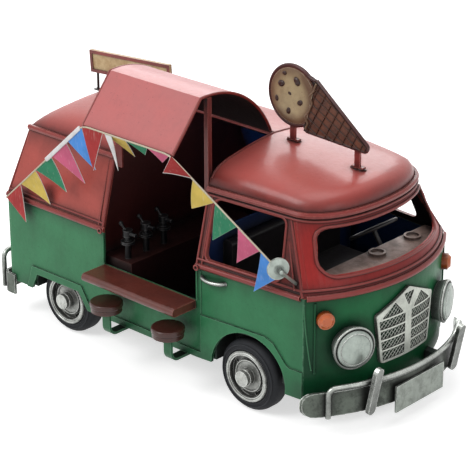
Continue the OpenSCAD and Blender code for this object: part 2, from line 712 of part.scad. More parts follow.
// Tube across the front blade, turned down at both ends
module front_rail() color(silver) on_floor() translate([blade_c, 0, 0]) {
    translate([0, 0, rail_z]) rotate([0, 0, -rail_turn]) rotate_extrude(angle = 2 * rail_turn)
        translate([rail_r, 0]) circle(r = tube_r);
    for (a = [-rail_turn, rail_turn]) rotate([0, 0, a]) translate([rail_r, 0, 0]) {
        translate([0, 0, blade_z]) cylinder(r = tube_r, h = rail_z - blade_z);
        translate([0, 0, rail_z]) sphere(r = 1.15 * tube_r);
    }
}

over_y = 37.5;
over_size = [2.6, 6, 31];
over_low_z = 10;
over_lean = 0.2;
module overriders() color(silver) on_floor() for (s = [-1, 1]) {
    x_rail = blade_c + sqrt(pow(rail_r + tube_r, 2) - pow(over_y - over_size[1] / 2, 2)) + touch;
    translate([x_rail, s * over_y, rail_z]) rotate([0, atan(over_lean), 0])
        translate([0, -over_size[1] / 2, over_low_z - rail_z]) rotate([90, 0, 90]) linear_extrude(height = over_size[0])
            round_box([over_size[1], over_size[2]], 2.9);
}

iron_y = 25;
iron_size = [20, 5, 4];
module bumper_irons() color(dark_green) on_floor() {
    difference() {
        for (s = [-1, 1]) translate([nose_x - 10, s * iron_y - iron_size[1] / 2, 18]) cube([iron_size[0], iron_size[1], 7]);
        translate([nose_c, 0, 0]) cylinder(r = nose_r, h = 60, $fn = 128);
        difference() {
            translate([blade_c, 0, 0]) cylinder(r = blade_r + 40, h = 60);
            translate([blade_c, 0, -1]) cylinder(r = blade_r - blade_t, h = 62);
        }
    }
    for (s = [-1, 1]) translate([tail_blade_x, s * 35 - 2.5, sill_z]) cube([rear - tail_blade_x, 5, 4]);
}

plate_size = [1.2, 43, 16.4];
plate_low_z = 6.5;
module number_plate() color(silver) on_floor()
    translate([blade_c + blade_r + touch, -plate_size[1] / 2, plate_low_z]) cube(plate_size);

tail_corner = 6;
module tail_blade() color(silver) on_floor() translate([0, 0, sill_z - 9]) linear_extrude(height = blade_h - 2) intersection() {
    difference() {
        translate([tail_blade_x - blade_t, -tail_blade_half]) round_box([40, 2 * tail_blade_half], tail_corner);
        translate([tail_blade_x, -tail_blade_half + blade_t])
            round_box([40, 2 * (tail_blade_half - blade_t)], tail_corner - blade_t);
    }
    translate([tail_blade_x - 10, -100]) square([20, 200]);
}

// Tube across the tail, turned down at both ends
module tail_rail() color(silver) on_floor() translate([tail_blade_x - blade_t - touch - tube_r, 0, 0]) {
    low = sill_z - 8;
    translate([0, 0, tail_rail_z]) rotate([90, 0, 0]) cylinder(r = tube_r, h = 2 * tail_rail_half, center = true);
    for (s = [-1, 1]) translate([0, s * tail_rail_half, 0]) {
        translate([0, 0, low]) cylinder(r = tube_r, h = tail_rail_z - low);
        translate([0, 0, tail_rail_z]) sphere(r = tube_r);
    }
}

tail_lamp_y = 54;
module tail_lamps() color(flag_red) on_floor() for (s = [-1, 1]) translate([rear, s * tail_lamp_y, 56]) rotate([0, -90, 0]) {
    cylinder(r = 5, h = 1.5);
    translate([0, 0, 1.5]) cylinder(r1 = 4.4, r2 = 3.4, h = 1.5);
}

// Places a lamp on the nose, its axis square to the skin, and cuts its back to the skin
module on_nose(y, z) difference() {
    translate([nose_c, 0, z]) rotate([0, 0, asin(y / nose_r)]) translate([nose_r - 4, 0, 0]) rotate([0, 90, 0]) children();
    translate([nose_c, 0, 0]) cylinder(r = nose_r + touch, h = 200, $fn = 128);
}

// Headlamp: a bowl on the nose with a thin ring, and a low drum with a domed face in it
lamp_y = 39.2;
lamp_z = 49.3;
lamp_gap = 0.5;
lens_r = lamp_r - 1.6;
bowl_r = lamp_r - 3;
ring_z = 9.6;
lens_low = ring_z - 2.5;
ring_w = lamp_r - lens_r - lamp_gap;
module headlamp_rims() color(silver) on_floor() for (s = [-1, 1]) on_nose(s * lamp_y, lamp_z) rotate_extrude() {
    polygon([[0, 0], [bowl_r, 0], [lamp_r, ring_z - 1], [lamp_r, ring_z], [lens_r + lamp_gap, ring_z],
        [lens_r + lamp_gap, lens_low], [0, lens_low]]);
    translate([lamp_r - ring_w / 2, ring_z]) circle(r = ring_w / 2);
}
lens_h = 4.7;
dome_h = 1.4;
dome_face = lens_r - 1.6;
dome_r = (dome_face * dome_face + dome_h * dome_h) / (2 * dome_h);
module headlamp_lenses() color(silver) on_floor() for (s = [-1, 1]) on_nose(s * lamp_y, lamp_z) translate([0, 0, lens_low + touch]) {
    rotate_extrude() intersection() {
        translate([-lens_r, -3]) round_box([2 * lens_r, lens_h + 3], 1.6);
        square([lens_r, lens_h]);
    }
    translate([0, 0, lens_h - 0.1]) intersection() {
        translate([0, 0, dome_h - dome_r]) sphere(r = dome_r);
        cylinder(r = dome_face, h = dome_h + 1);
    }
}

turn_y = 52.8;
turn_h = 7.6;
turn_z = 67.2;
module turn_lamps() color(orange) on_floor() for (s = [-1, 1]) on_nose(s * turn_y, turn_z) {
    cylinder(r = turn_r, h = turn_h);
    translate([0, 0, turn_h]) cylinder(r1 = turn_r - 0.6, r2 = turn_r - 2, h = 1.6);
}

// Grille: a shield bent round the nose, with a rib and rows of openings
shield_top = 74.5;
shield_shoulder = [25, 63];
shield_foot = [21, 33];
grille_t = 2.2;
rib_half = 2.6;
grille_frame = 1.6;
grille_bar = 1.6;
module shield(inset = 0) polygon([[0, shield_top - 1.2 * inset], [shield_shoulder[0] - inset, shield_shoulder[1] - 0.4 * inset],
    [shield_foot[0] - inset, shield_foot[1] + inset], [-shield_foot[0] + inset, shield_foot[1] + inset],
    [-shield_shoulder[0] + inset, shield_shoulder[1] - 0.4 * inset]]);
module around_nose(r0, r1) intersection() {
    translate([nose_c, 0, 0]) difference() {
        cylinder(r = r1, h = 150, $fn = 128);
        translate([0, 0, -1]) cylinder(r = r0, h = 152, $fn = 128);
    }
    along_x(nose_x - 30, nose_x + 20) children();
}
mesh_pitch = 3.1;
mesh_bar = 0.7;
mesh_t = 1;
module mesh_bars() for (a = [-45, 45], i = [-11:11]) translate([0, (shield_top + shield_foot[1]) / 2]) rotate(a)
    translate([-40, i * mesh_pitch - mesh_bar / 2]) square([80, mesh_bar]);
module grille() color(silver) on_floor() {
    around_nose(nose_r + touch, nose_r + grille_t) difference() {
        shield();
        intersection() {
            shield(grille_frame);
            for (i = [0:grille_rows - 1], s = [-1, 1]) {
                pitch = (shield_top - shield_foot[1] - grille_frame) / grille_rows;
                translate([s * (rib_half + 15), shield_foot[1] + grille_frame + pitch * (i + 0.42)])
                    square([30, pitch - grille_bar], center = true);
            }
        }
    }
    around_nose(nose_r + touch, nose_r + mesh_t) intersection() {
        shield(grille_frame / 2);
        mesh_bars();
    }
}

// Curved pulls on the cab doors
module door_handles() color(silver) on_floor() both_sides()
    translate([hatch_front + 4, -half_w + 4 * taper, waist_z - 6]) rotate([0, 0, cab_turn]) {
        for (x = [1.5, 15]) translate([x, 0, 0]) rotate([90, 0, 0]) cylinder(r = 1.1, h = 2.4);
        translate([0, -3.2, 0]) rotate([0, 90, 0]) cylinder(r = 1.1, h = 17);
        translate([0, -3.2, 0]) sphere(r = 1.1);
    }

// Round mirror on an arm that runs from its front face down to the right pillar
mirror_turn = -28;
mirror_head = [corner_x - 7, -half_w - 7.6, waist_z + 21];
mirror_out = [cos(mirror_turn), sin(mirror_turn), 0];
mirror_face = mirror_head + 1.8 * mirror_out;
mirror_knee = mirror_head + 6 * mirror_out;
mirror_foot = [corner_x - 6.6, waist_z + 7];
mirror_root = [mirror_foot[0], -side_y(mirror_foot[0], mirror_foot[1]) - 0.9, mirror_foot[1]];
module rod(a, b, r) {
    d = b - a;
    translate(a) rotate([0, acos(d[2] / norm(d)), atan2(d[1], d[0])]) cylinder(r = r, h = norm(d), $fn = 24);
}
module side_mirror() color(silver) on_floor() {
    rod(mirror_root, mirror_knee, 0.9);
    rod(mirror_knee, mirror_face, 0.8);
    translate(mirror_knee) sphere(r = 1.2, $fn = 24);
    translate(mirror_head) rotate([0, 90, mirror_turn]) {
        cylinder(r = 6.2, h = 1.4);
        translate([0, 0, 1.4]) cylinder(r1 = 5.6, r2 = 3, h = 0.8);
    }
}

// Board on the roof behind the lid, tipped up a little at the front
board_y = -3;
board_t = 2.5;
board_x = -112.5;
board_low_z = gutter_z + 23.6;
board_tip = -4.3;
module on_board() translate([board_x, board_y, board_low_z]) rotate([0, board_tip, 0]) children();
module roof_board() color(cream) on_floor() on_board() difference() {
    translate([0, -board_t / 2, 0]) cube([board_l, board_t, board_h]);
    for (s = [-1, 1]) translate([2, s * board_t / 2 - 0.6, 2]) cube([board_l - 4, 1.2, board_h - 4]);
}
leg_table = [5, board_l - 8];
leg_r = 0.8;
module board_legs() color(black) on_floor() for (u = leg_table) {
    x = board_x + u * cos(board_tip);
    z = board_low_z - u * sin(board_tip);
    foot = gutter_z + max([for (i = [-1, 1], j = [-1, 1]) rear_roof_h(x + 2.5 * i, board_y + 1.5 * j)]);
    translate([x, board_y, foot + 0.2]) cylinder(r = leg_r, h = z - foot - 0.3, $fn = 24);
    translate([x - 2.5, board_y - 1.5, foot + 0.2]) cube([5, 3, 0.8]);
}

// Cone sign: scoop, cone and raised rim, flat plate along the van
cone_y = -3;
cone_t = 2;
scoop_c = [52.4, gutter_z + 45];
scoop_up = [0.6, 1.6];
mouth = [scoop_c + [17.2, 14.4], scoop_c + [9.4, -17.2]];
cone_tip = scoop_c + [51.6, -16.6];
module cone_sign() color(brown) on_floor() translate([0, cone_y, 0]) {
    through_y(cone_t) translate(scoop_c + scoop_up) circle(r = scoop_r);
    through_y(cone_t) rounded_polygon([mouth[0], mouth[1], cone_tip + [2, -2.4], cone_tip + [3.4, 0.6]], 1.6);
}
cone_leg_table = [[scoop_c[0] - 1, scoop_c[1] - 16.5], [cone_tip[0] - 5, cone_tip[1] + 1]];
module cone_legs() color(body_red) on_floor() for (q = cone_leg_table) {
    foot = gutter_z + max([for (i = [-4, 4], j = [1, 4]) cab_roof_h(q[0] + i, cone_y + j)]);
    translate([q[0] - 2, cone_y + cone_t / 2 + touch, foot + 1]) cube([4, 1.2, q[1] - foot]);
    translate([q[0] - 4, cone_y + cone_t / 2 + touch, foot + 0.4]) cube([8, 3, 1]);
}

// Bunting: a string by its corners and pennants in a row along each stretch
string_r = 0.5;
string_out = 0.9;
string_corners = [mirror_root + 0.68 * (mirror_knee - mirror_root) - [1.8, 0, 0.4],
    [roof_front - lid_gap - 1, eave[0] - string_out, eave[1]], [roof_rear + lid_back + 1, eave[0] - string_out, eave[1]],
    [rear + 1, -half_w - bead_r - string_r - touch, waist_z - bead_r]];
knot_r = 1.7 * string_r;
module bunting_string() color(cream) on_floor() for (i = [0:2]) {
    a = string_corners[i];
    b = string_corners[i + 1];
    gap = unit(b - a) * (knot_r + touch);
    rod(a + gap, b - gap, string_r);
    translate(b) sphere(r = knot_r, $fn = 24);
}
// Columns: stretch of string, pennants on it, colours in order
flag_rows = [[0, [flag_blue, flag_pink, flag_green, flag_yellow, flag_red]],
    [1, [flag_pink, flag_green, flag_yellow, flag_red]],
    [2, [flag_blue, flag_pink, flag_green, flag_yellow, flag_red]]];
flag_t = 0.6;
module pennants() on_floor() for (row = flag_rows) {
    a = string_corners[row[0]];
    b = string_corners[row[0] + 1];
    s = unit(b - a);
    d = unit([0, 0, -1] + s[2] * s);
    n = cross(s, d);
    count = len(row[1]);
    pitch = norm(b - a) / count;
    for (k = [0:count - 1]) {
        p = a + s * pitch * (k + 0.5);
        color(row[1][k]) multmatrix([[s[0], d[0], n[0], p[0]], [s[1], d[1], n[1], p[1]], [s[2], d[2], n[2], p[2]], [0, 0, 0, 1]])
            linear_extrude(height = flag_t, center = true)
                polygon([[-flag_w / 2, string_r + touch], [flag_w / 2, string_r + touch], [0, flag_h]]);
    }
}

// Wheels: one turned rim and tyre, at the end of an axle
function wheel_place(front, side) = [front ? axle_x : -axle_x, side * ((front ? front_track : rear_track) - tyre_w / 2), tyre_r];
module at_wheel(front, side) translate(wheel_place(front, side)) rotate([side > 0 ? -90 : 90, 0, 0]) children();
module tyre() rotate_extrude($fn = 96) intersection() {
    translate([rim_r, -tyre_w / 2]) square([tyre_r - rim_r, tyre_w]);
    translate([rim_r - 10, -tyre_w / 2]) round_box([tyre_r - rim_r + 10, tyre_w], 4.2);
}
module wheel() difference() {
    rotate_extrude($fn = 96) {
        translate([rim_r - 1.2, -tyre_w / 2]) square([1.2, tyre_w]);
        translate([rim_r - 1.6, tyre_w / 2]) square([2.4, 1]);
        translate([0, 2.5]) square([rim_r, 1.4]);
        translate([0, 2.5]) square([9.5, 3]);
        translate([0, -tyre_w / 2]) square([hub_r, tyre_w / 2 + 7]);
        square([hub_r, tyre_w / 2 + hub_out]);
    }
    translate([0, 0, -tyre_w / 2 - 1]) cylinder(r = axle_r + axle_gap, h = tyre_w + 4);
    for (i = [0:3]) rotate([0, 0, 90 * i + 20]) rotate_extrude(angle = 42) translate([10.4, 2]) square([2, 3]);
}
module tyre_front_right() color(black) on_floor() at_wheel(true, -1) tyre();
module tyre_front_left() color(black) on_floor() at_wheel(true, 1) tyre();
module tyre_rear_right() color(black) on_floor() at_wheel(false, -1) tyre();
module tyre_rear_left() color(black) on_floor() at_wheel(false, 1) tyre();
module wheel_front_right() color(silver) on_floor() at_wheel(true, -1) wheel();
module wheel_front_left() color(silver) on_floor() at_wheel(true, 1) wheel();
module wheel_rear_right() color(silver) on_floor() at_wheel(false, -1) wheel();
module wheel_rear_left() color(silver) on_floor() at_wheel(false, 1) wheel();

module axle(x, track) translate([x, 0, tyre_r]) rotate([90, 0, 0]) cylinder(r = axle_r, h = 2 * (track + 2), center = true);
module axle_front() color(silver) on_floor() axle(axle_x, front_track);
module axle_rear() color(silver) on_floor() axle(-axle_x, rear_track);

floor_pan();
side_lower_right();
side_lower_left();
nose_panel();
tail_lower();
side_upper_right();
side_upper_left();
tail_upper();
cab_side_right();
cab_side_left();
screen_frame();
cab_roof();
rear_roof();
left_roof();
drip_rail();
waist_bead();
lid();
lid_struts();
counter();
stool_seats();
stool_brackets();
rear_partition();
cab_bulkhead();
cabinet();
taps();
bench_seat();
dashboard();
steering_wheel();
front_blade();
front_rail();
overriders();
bumper_irons();
number_plate();
tail_blade();
tail_rail();
tail_lamps();
headlamp_rims();
headlamp_lenses();
turn_lamps();
grille();
door_handles();
side_mirror();
roof_board();
board_legs();
cone_sign();
cone_legs();
bunting_string();
pennants();
axle_front();
axle_rear();
tyre_front_right();
tyre_front_left();
tyre_rear_right();
tyre_rear_left();
wheel_front_right();
wheel_front_left();
wheel_rear_right();
wheel_rear_left();
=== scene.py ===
"""Looks of a painted tin model of an ice-cream van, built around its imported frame."""

import math

import bpy
from mathutils import Matrix, Quaternion, Vector


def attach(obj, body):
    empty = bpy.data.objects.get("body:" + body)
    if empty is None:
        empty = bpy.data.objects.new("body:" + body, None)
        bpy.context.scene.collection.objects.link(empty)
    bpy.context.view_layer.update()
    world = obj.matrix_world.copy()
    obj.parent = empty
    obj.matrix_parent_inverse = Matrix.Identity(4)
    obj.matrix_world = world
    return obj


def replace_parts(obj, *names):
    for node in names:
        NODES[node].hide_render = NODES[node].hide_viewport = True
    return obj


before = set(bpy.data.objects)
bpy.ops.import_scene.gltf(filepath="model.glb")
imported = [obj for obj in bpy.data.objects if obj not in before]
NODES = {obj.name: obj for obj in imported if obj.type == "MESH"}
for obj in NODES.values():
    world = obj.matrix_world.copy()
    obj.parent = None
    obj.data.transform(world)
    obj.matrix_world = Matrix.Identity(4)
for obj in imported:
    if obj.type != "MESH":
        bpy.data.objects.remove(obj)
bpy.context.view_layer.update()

# The van's drawing is in millimetres, with y = 0 in its middle and the axles at AXLE_X and -AXLE_X.
MM = 0.001
CENTRE = Vector((-8.5, 10.45, 0.0))
X, Z = Vector((1, 0, 0)), Vector((0, 0, 1))
SIDES = ((-1, "right"), (1, "left"))


def at(x, y, z):
    """A place on the drawing as a point of the scene."""
    return (Vector((x, y, z)) + CENTRE) * MM


# Sizes of the van that its trim follows
WAIST_Z = 80.0
GUTTER_Z = 121.0
HALF_W = 68.4
HALF_G = 53.0
REAR_X = -121.5
TAIL_LEAN = 5.8
HATCH = (-37.0, 38.5)
HATCH_LEAN = 4.5
ROOF_HATCH = (HATCH[0] - HATCH_LEAN, HATCH[1] - HATCH_LEAN)
CORNER_X = 113.06
CORNER_Y = 62.5
TAPER = (HALF_W - CORNER_Y) / (CORNER_X - HATCH[1])
NOSE_C, NOSE_R = 35.0, 100.0
PILLAR_TOP = (92.06, 48.41)
BROW_REACH, BROW_POWER = 25.94, 2.15
LID_Y, LID_Z, LID_R = -52.4, 119.0, 57.0
LID_X = (ROOF_HATCH[0] + 3.0, ROOF_HATCH[1] - 0.5)
HINGE_TURN, FOLD_TURN = 23, 96.0
FLAP_SLOPE, FLAP_L = 50.0, 35.6
CONE_Y, CONE_T = -3.0, 2.0
SCOOP = (52.4, 166.0)
SCOOP_R = 17.4
SCOOP_MID = (SCOOP[0] + 0.6, SCOOP[1] + 1.6)
AXLE_X, TYRE_R = 75.0, 21.5
FRONT_TRACK, REAR_TRACK = 66.0, 64.8


# Stage
CAMERA = (747.99, -803.99, 536.44)
SIGHT = Vector((-0.62394, 0.67510, -0.39362))
CAMERA_ROLL = -0.11


def srgb(*levels):
    """A colour read as screen levels of 0 to 255, in the shader's linear light."""
    return tuple(((v / 255 + 0.055) / 1.055) ** 2.4 if v > 10 else v / 255 / 12.92 for v in levels) + (1.0,)


def clear_selection():
    for obj in bpy.context.selected_objects:
        obj.select_set(False)
    bpy.context.view_layer.objects.active = None


def set_camera():
    bpy.ops.object.camera_add(location=at(*CAMERA))
    camera = bpy.context.object
    camera.name = "photo_camera"
    turn = SIGHT.to_track_quat("-Z", "Y") @ Quaternion((0, 0, 1), math.radians(CAMERA_ROLL))
    camera.rotation_euler = turn.to_euler()
    camera.data.lens = 152.15
    camera.data.sensor_width = 36
    camera.data.clip_start = 0.05
    camera.data.clip_end = 20
    camera.data.shift_x = -0.0002
    camera.data.shift_y = -0.0021
    bpy.context.scene.camera = camera


def area_lamp(name, place, aim, size, watts):
    bpy.ops.object.light_add(type="AREA", location=place)
    lamp = bpy.context.object
    lamp.name = name
    lamp.data.size = size
    lamp.data.energy = watts
    lamp.rotation_euler = (Vector(aim) - Vector(place)).to_track_quat("-Z", "Y").to_euler()


clear_selection()
set_camera()
area_lamp("key_lamp", (-0.55, -1.2, 1.35), (0, 0, 0.08), 0.9, 14.0)
area_lamp("top_lamp", (0.0, 0.1, 1.7), (0, 0, 0.08), 1.1, 7.2)
area_lamp("back_lamp", (-0.8, 1.0, 0.8), (0.03, 0, 0.13), 0.8, 6.5)
area_lamp("front_lamp", (1.7, -0.35, 0.55), (0.1, 0, 0.07), 0.8, 2.5)


# Shader maths

class Value:
    """A socket's output that takes part in plain arithmetic."""

    def __init__(self, paint, socket):
        self.paint, self.socket = paint, socket

    def _math(self, operation, first, second=0.0):
        return self.paint.node("ShaderNodeMath", {"operation": operation}, {0: first, 1: second})

    def __add__(self, other):
        return self._math("ADD", self, other)

    def __sub__(self, other):
        return self._math("SUBTRACT", self, other)

    def __rsub__(self, other):
        return self._math("SUBTRACT", other, self)

    def __mul__(self, other):
        return self._math("MULTIPLY", self, other)

    def __pow__(self, other):
        return self._math("POWER", self, other)

    __radd__ = __add__
    __rmul__ = __mul__

    def low(self, other):
        return self._math("MINIMUM", self, other)

    def size(self):
        return self._math("ABSOLUTE", self)

    def step(self, start, end):
        """Rises smoothly from 0 to 1 as the value goes from start to end."""
        return self.paint.node("ShaderNodeMapRange", {"interpolation_type": "SMOOTHSTEP"},
                               {"Value": self, "From Min": start, "From Max": end})


SEEN_RAYS = ("Is Camera Ray", "Is Glossy Ray", "Is Transmission Ray")


class Nodes:
    """A node tree whose sockets are fed with values or links."""

    def __init__(self, tree):
        self.tree = tree

    def node(self, kind, settings=None, sockets=None, output=0):
        node = self.tree.nodes.new(kind)
        for key, value in (settings or {}).items():
            setattr(node, key, value)
        for key, value in (sockets or {}).items():
            self.feed(node.inputs[key], value)
        return Value(self, node.outputs[output])

    def feed(self, socket, value):
        if isinstance(value, Value):
            self.tree.links.new(value.socket, socket)
        else:
            socket.default_value = value

    def seen(self):
        """1 for rays that show a place to the camera, straight, mirrored or through glass."""
        rays = self.node("ShaderNodeLightPath").socket.node.outputs
        camera, glossy, through = [Value(self, rays[kind]) for kind in SEEN_RAYS]
        return (camera + glossy + through).low(1.0)


class Paint(Nodes):
    """A node material around one Principled shader."""

    def __init__(self, name, **constants):
        self.material = bpy.data.materials.new(name)
        self.material.use_nodes = True
        super().__init__(self.material.node_tree)
        self.shader = self.tree.nodes["Principled BSDF"]
        self.set(**constants)
        self.place = self.node("ShaderNodeTexCoord", output="Object")

    def set(self, **inputs):
        for socket, value in inputs.items():
            self.feed(self.shader.inputs[socket.replace("_", " ")], value)

    def mix(self, factor, first, second):
        return self.node("ShaderNodeMix", {"data_type": "RGBA"}, {0: factor, 6: first, 7: second}, output=2)

    def noise(self, scale, detail=3.0, rough=0.55, stretch=None):
        place = self.place
        if stretch:
            place = self.node("ShaderNodeMapping", None, {"Vector": place, "Scale": stretch})
        return self.node("ShaderNodeTexNoise", None,
                         {"Vector": place, "Scale": scale, "Detail": detail, "Roughness": rough})

    def axes(self, vector=None):
        split = self.node("ShaderNodeSeparateXYZ", None, {0: vector or self.place})
        return [Value(self, socket) for socket in split.socket.node.outputs]

    def facing(self):
        return self.node("ShaderNodeNewGeometry", output="Normal")

    def vector(self, operation, first, second=(0.0, 0.0, 0.0), output="Vector"):
        return self.node("ShaderNodeVectorMath", {"operation": operation}, {0: first, 1: second}, output)

    def hollows(self, reach):
        """How closed in a place is, from 0 in the open to 1 in a tight corner."""
        return 1 - self.node("ShaderNodeAmbientOcclusion", {"samples": 6}, {"Distance": reach}, output="AO")

    def edges(self, radius):
        """1 along sharp edges, 0 on flat faces."""
        soft = self.node("ShaderNodeBevel", {"samples": 4}, {"Radius": radius})
        return (1 - self.vector("DOT_PRODUCT", soft, self.facing(), "Value")).step(0.01, 0.2)

    def bump(self, height, distance, strength):
        self.set(Normal=self.node("ShaderNodeBump", None,
                                  {"Strength": strength, "Distance": distance, "Height": height}))


# Finishes
BODY_MIDDLE = at(-10, 0, 70)


def inner_side(paint):
    """1 on faces that look into the van's body, 0 on its outside."""
    spoke = paint.vector("SUBTRACT", paint.place, tuple(BODY_MIDDLE))
    spoke = paint.vector("NORMALIZE", paint.vector("MULTIPLY", spoke, (0.32, 1.0, 1.0)))
    return (0 - paint.vector("DOT_PRODUCT", spoke, paint.facing(), "Value")).step(0.05, 0.3)


def dimmed(colour, share):
    return tuple(share * c for c in colour[:3]) + (1.0,)


def enamel(name, colour, deep, worn, rough=0.4, spec=0.35, inside=None, shade=None, hollow_shade=1.0,
           metal=0.0, coat=0.1, wear=0.5, dents=0.25, patina=0.0, dust_and_sheen=None):
    """Old brushed-on enamel over tin: uneven, darkened along a given mask, with painted shade in the
    hollows, worn at the edges.
    Its colours are screen levels."""
    colour, deep, worn = srgb(*colour), srgb(*deep), srgb(*worn)
    paint = Paint(name, Coat_Roughness=0.2, Specular_IOR_Level=spec)
    broad = paint.noise(38, 4)
    fine = paint.noise(330, 4, 0.65)
    specks = paint.noise(900, 2, 0.7)
    runs = paint.noise(150, 3, 0.6, (1, 1, 0.22))
    tone = paint.mix((broad * 0.75 + fine * 0.25).step(0.3, 0.72), colour, dimmed(colour, 0.76))
    tone = paint.mix(runs.step(0.5, 0.78) * 0.3, tone, dimmed(colour, 0.55))
    # Painted sheen, with some dust, lightens the faces that look up.
    if dust_and_sheen:
        up = paint.axes(paint.facing())[2]
        tone = paint.mix(up.step(0.3, 0.98) * (0.25 + broad * 0.5), tone, srgb(*dust_and_sheen))
    if patina:
        blotch = paint.noise(115, 6, 0.78)
        tone = paint.mix(blotch.step(0.40, 0.66) * patina, tone, deep)
    # Darkened along the mask: painted shade for the body's masks, brown print on the scoop.
    if shade:
        tone = paint.mix((shade(paint) * (0.55 + broad * 0.9)).low(0.9), tone, deep)
    if inside:
        tone = paint.mix(inner_side(paint), tone, srgb(*inside))
    # Painted shade darkens the hollows.
    hollow = (paint.hollows(0.008) * (0.75 + fine * 0.7) * 1.6 * hollow_shade).low(0.94)
    tone = paint.mix(hollow, tone, deep)
    edge = paint.edges(0.0011) * (fine * 1.1 + broad * 0.5).step(0.55, 0.95) * wear
    tone = paint.mix(edge, tone, worn)
    tone = paint.mix(specks.step(0.68, 0.75) * 0.6, tone, deep)
    paint.set(Base_Color=tone, Roughness=rough + (fine - 0.5) * 0.25 + hollow * 0.2 + broad * 0.08,
              Coat_Weight=coat * (1 - hollow))
    if metal:
        paint.set(Metallic=metal * (1 - hollow * 0.8))
    paint.bump(fine * 0.35 + broad * 2.2 * dents + specks * 0.12, 0.0006, 0.55)
    return paint


def red_painted_shade(paint):
    """Painted shade along the roof's foot, under the gutter and above the waist."""
    z = paint.axes()[2]
    foot = z.step(0.1325, 0.1215) * z.step(0.1195, 0.1205)
    brow = z.step(0.105, 0.1195) * z.step(0.1215, 0.1205)
    waist = z.step(0.0900, 0.0815)
    return foot * 0.62 + brow * 0.34 + waist * 0.42


def green_painted_shade(paint):
    """Painted shade under the waist, along the sill and towards the nose."""
    x, y, z = paint.axes()
    return z.step(0.068, 0.079) * 0.26 + z.step(0.038, 0.019) * 0.42 + x.step(0.09, 0.107) * 0.2


def nose_painted_shade(paint):
    """Painted shade low on the nose, under the belt and at its right corner."""
    y, z = paint.axes()[1:]
    corner = (0.012 - y).step(0.035, 0.06)
    return z.step(0.078, 0.036) * 0.36 + z.step(0.070, 0.079) * 0.3 + corner * 0.35


def side_and_under_painted_shade(paint):
    """Painted shade on what faces sideways and down."""
    up = paint.axes(paint.facing())[2]
    return (0 - up).step(-0.65, 0.35) * 0.72


def scoop_shade(paint):
    """Brown spray round the scoop's edge."""
    x, y, z = paint.axes()
    middle = at(SCOOP_MID[0], 0, SCOOP_MID[1])
    reach = ((x - middle.x) ** 2 + (z - middle.z) ** 2) ** 0.5
    return reach.step(0.0085, 0.0165) * 0.85 + (x - middle.x).step(0.004, 0.014) * 0.35


RED, RED_DEEP, RED_WORN = (170, 54, 46), (42, 14, 13), (216, 128, 116)
GREEN, GREEN_DEEP, GREEN_WORN = (46, 122, 78), (10, 22, 17), (128, 180, 145)
# Colour of the painted sheen, with some dust, on the roof's upward faces.
ROOF_DUST_AND_SHEEN = (198, 108, 102)
BLACK_INSIDE = (24, 16, 17)
BLUE_INSIDE = (34, 70, 136)
GREY_INSIDE = (22, 24, 22)
SILVER_DEEP, SILVER_WORN = (30, 32, 29), (226, 229, 224)
PALE_SILVER, PALE_WORN = (206, 210, 200), (240, 242, 236)

red = enamel("red_enamel", RED, RED_DEEP, RED_WORN, rough=0.36, coat=0.3, inside=BLACK_INSIDE,
    shade=red_painted_shade, dust_and_sheen=ROOF_DUST_AND_SHEEN)
side_red = enamel("side_red_enamel", (180, 78, 68), RED_DEEP, RED_WORN, rough=0.38, coat=0.2,
    inside=BLACK_INSIDE, shade=red_painted_shade)
left_red = enamel("left_red_enamel", RED, RED_DEEP, RED_WORN, rough=0.36, coat=0.3, inside=BLUE_INSIDE,
    shade=red_painted_shade, dust_and_sheen=ROOF_DUST_AND_SHEEN)
lid_red = enamel("lid_enamel", (186, 84, 81), RED_DEEP, RED_WORN, rough=0.38, coat=0.2,
    inside=BLACK_INSIDE, dents=0.45, dust_and_sheen=(214, 148, 149))
frame_red = enamel("frame_red_enamel", (124, 42, 37), (34, 14, 13), RED_WORN, rough=0.38, coat=0.12,
    wear=0.7, hollow_shade=1.3, patina=0.6, inside=BLACK_INSIDE, shade=red_painted_shade)
screen_red = enamel("screen_red_enamel", (165, 37, 34), RED_DEEP, RED_WORN, rough=0.36, coat=0.1,
    spec=0.25, inside=BLACK_INSIDE, shade=red_painted_shade)
trim_red = enamel("trim_red_enamel", (140, 46, 41), RED_DEEP, (214, 126, 114), rough=0.34, coat=0.2,
    wear=0.7, hollow_shade=1.4)
post_red = enamel("post_red_enamel", (112, 40, 36), (26, 10, 10), (190, 104, 94), rough=0.36, wear=0.6,
    hollow_shade=1.5)
green = enamel("green_enamel", GREEN, GREEN_DEEP, GREEN_WORN, rough=0.4, spec=0.25, inside=GREY_INSIDE,
    shade=green_painted_shade)
left_green = enamel("left_green_enamel", GREEN, GREEN_DEEP, GREEN_WORN, rough=0.4, spec=0.25,
    inside=(24, 44, 82), shade=green_painted_shade)
nose_green = enamel("nose_green_enamel", (22, 108, 62), (7, 34, 22), (112, 164, 130), rough=0.36,
    spec=0.16, inside=GREY_INSIDE, shade=nose_painted_shade, coat=0.05)
dark_green = enamel("under_green_enamel", (24, 42, 33), (8, 12, 11), (66, 86, 76), rough=0.55)
brown = enamel("brown_enamel", (108, 53, 44), (22, 11, 10), (168, 104, 90), rough=0.3, coat=0.3, wear=1.0,
    dents=0.5, patina=0.25)
stool_brown = enamel("stool_enamel", (70, 36, 30), (16, 9, 8), (130, 78, 66), rough=0.32, coat=0.25)
sign_brown = enamel("sign_brown_enamel", (74, 28, 25), (20, 10, 9), (150, 80, 66), rough=0.36, patina=0.4)
cone_brown = enamel("cone_brown_enamel", (112, 62, 38), (44, 20, 14), (164, 104, 70), rough=0.38,
    patina=0.75)
waffle_brown = enamel("waffle_enamel", (48, 26, 18), (18, 9, 7), (120, 74, 46), rough=0.36, patina=0.3)
scoop_cream = enamel("scoop_enamel", (186, 166, 128), (92, 60, 42), (226, 212, 184), rough=0.42,
    dents=0.6, hollow_shade=1.3, patina=0.3, shade=scoop_shade)
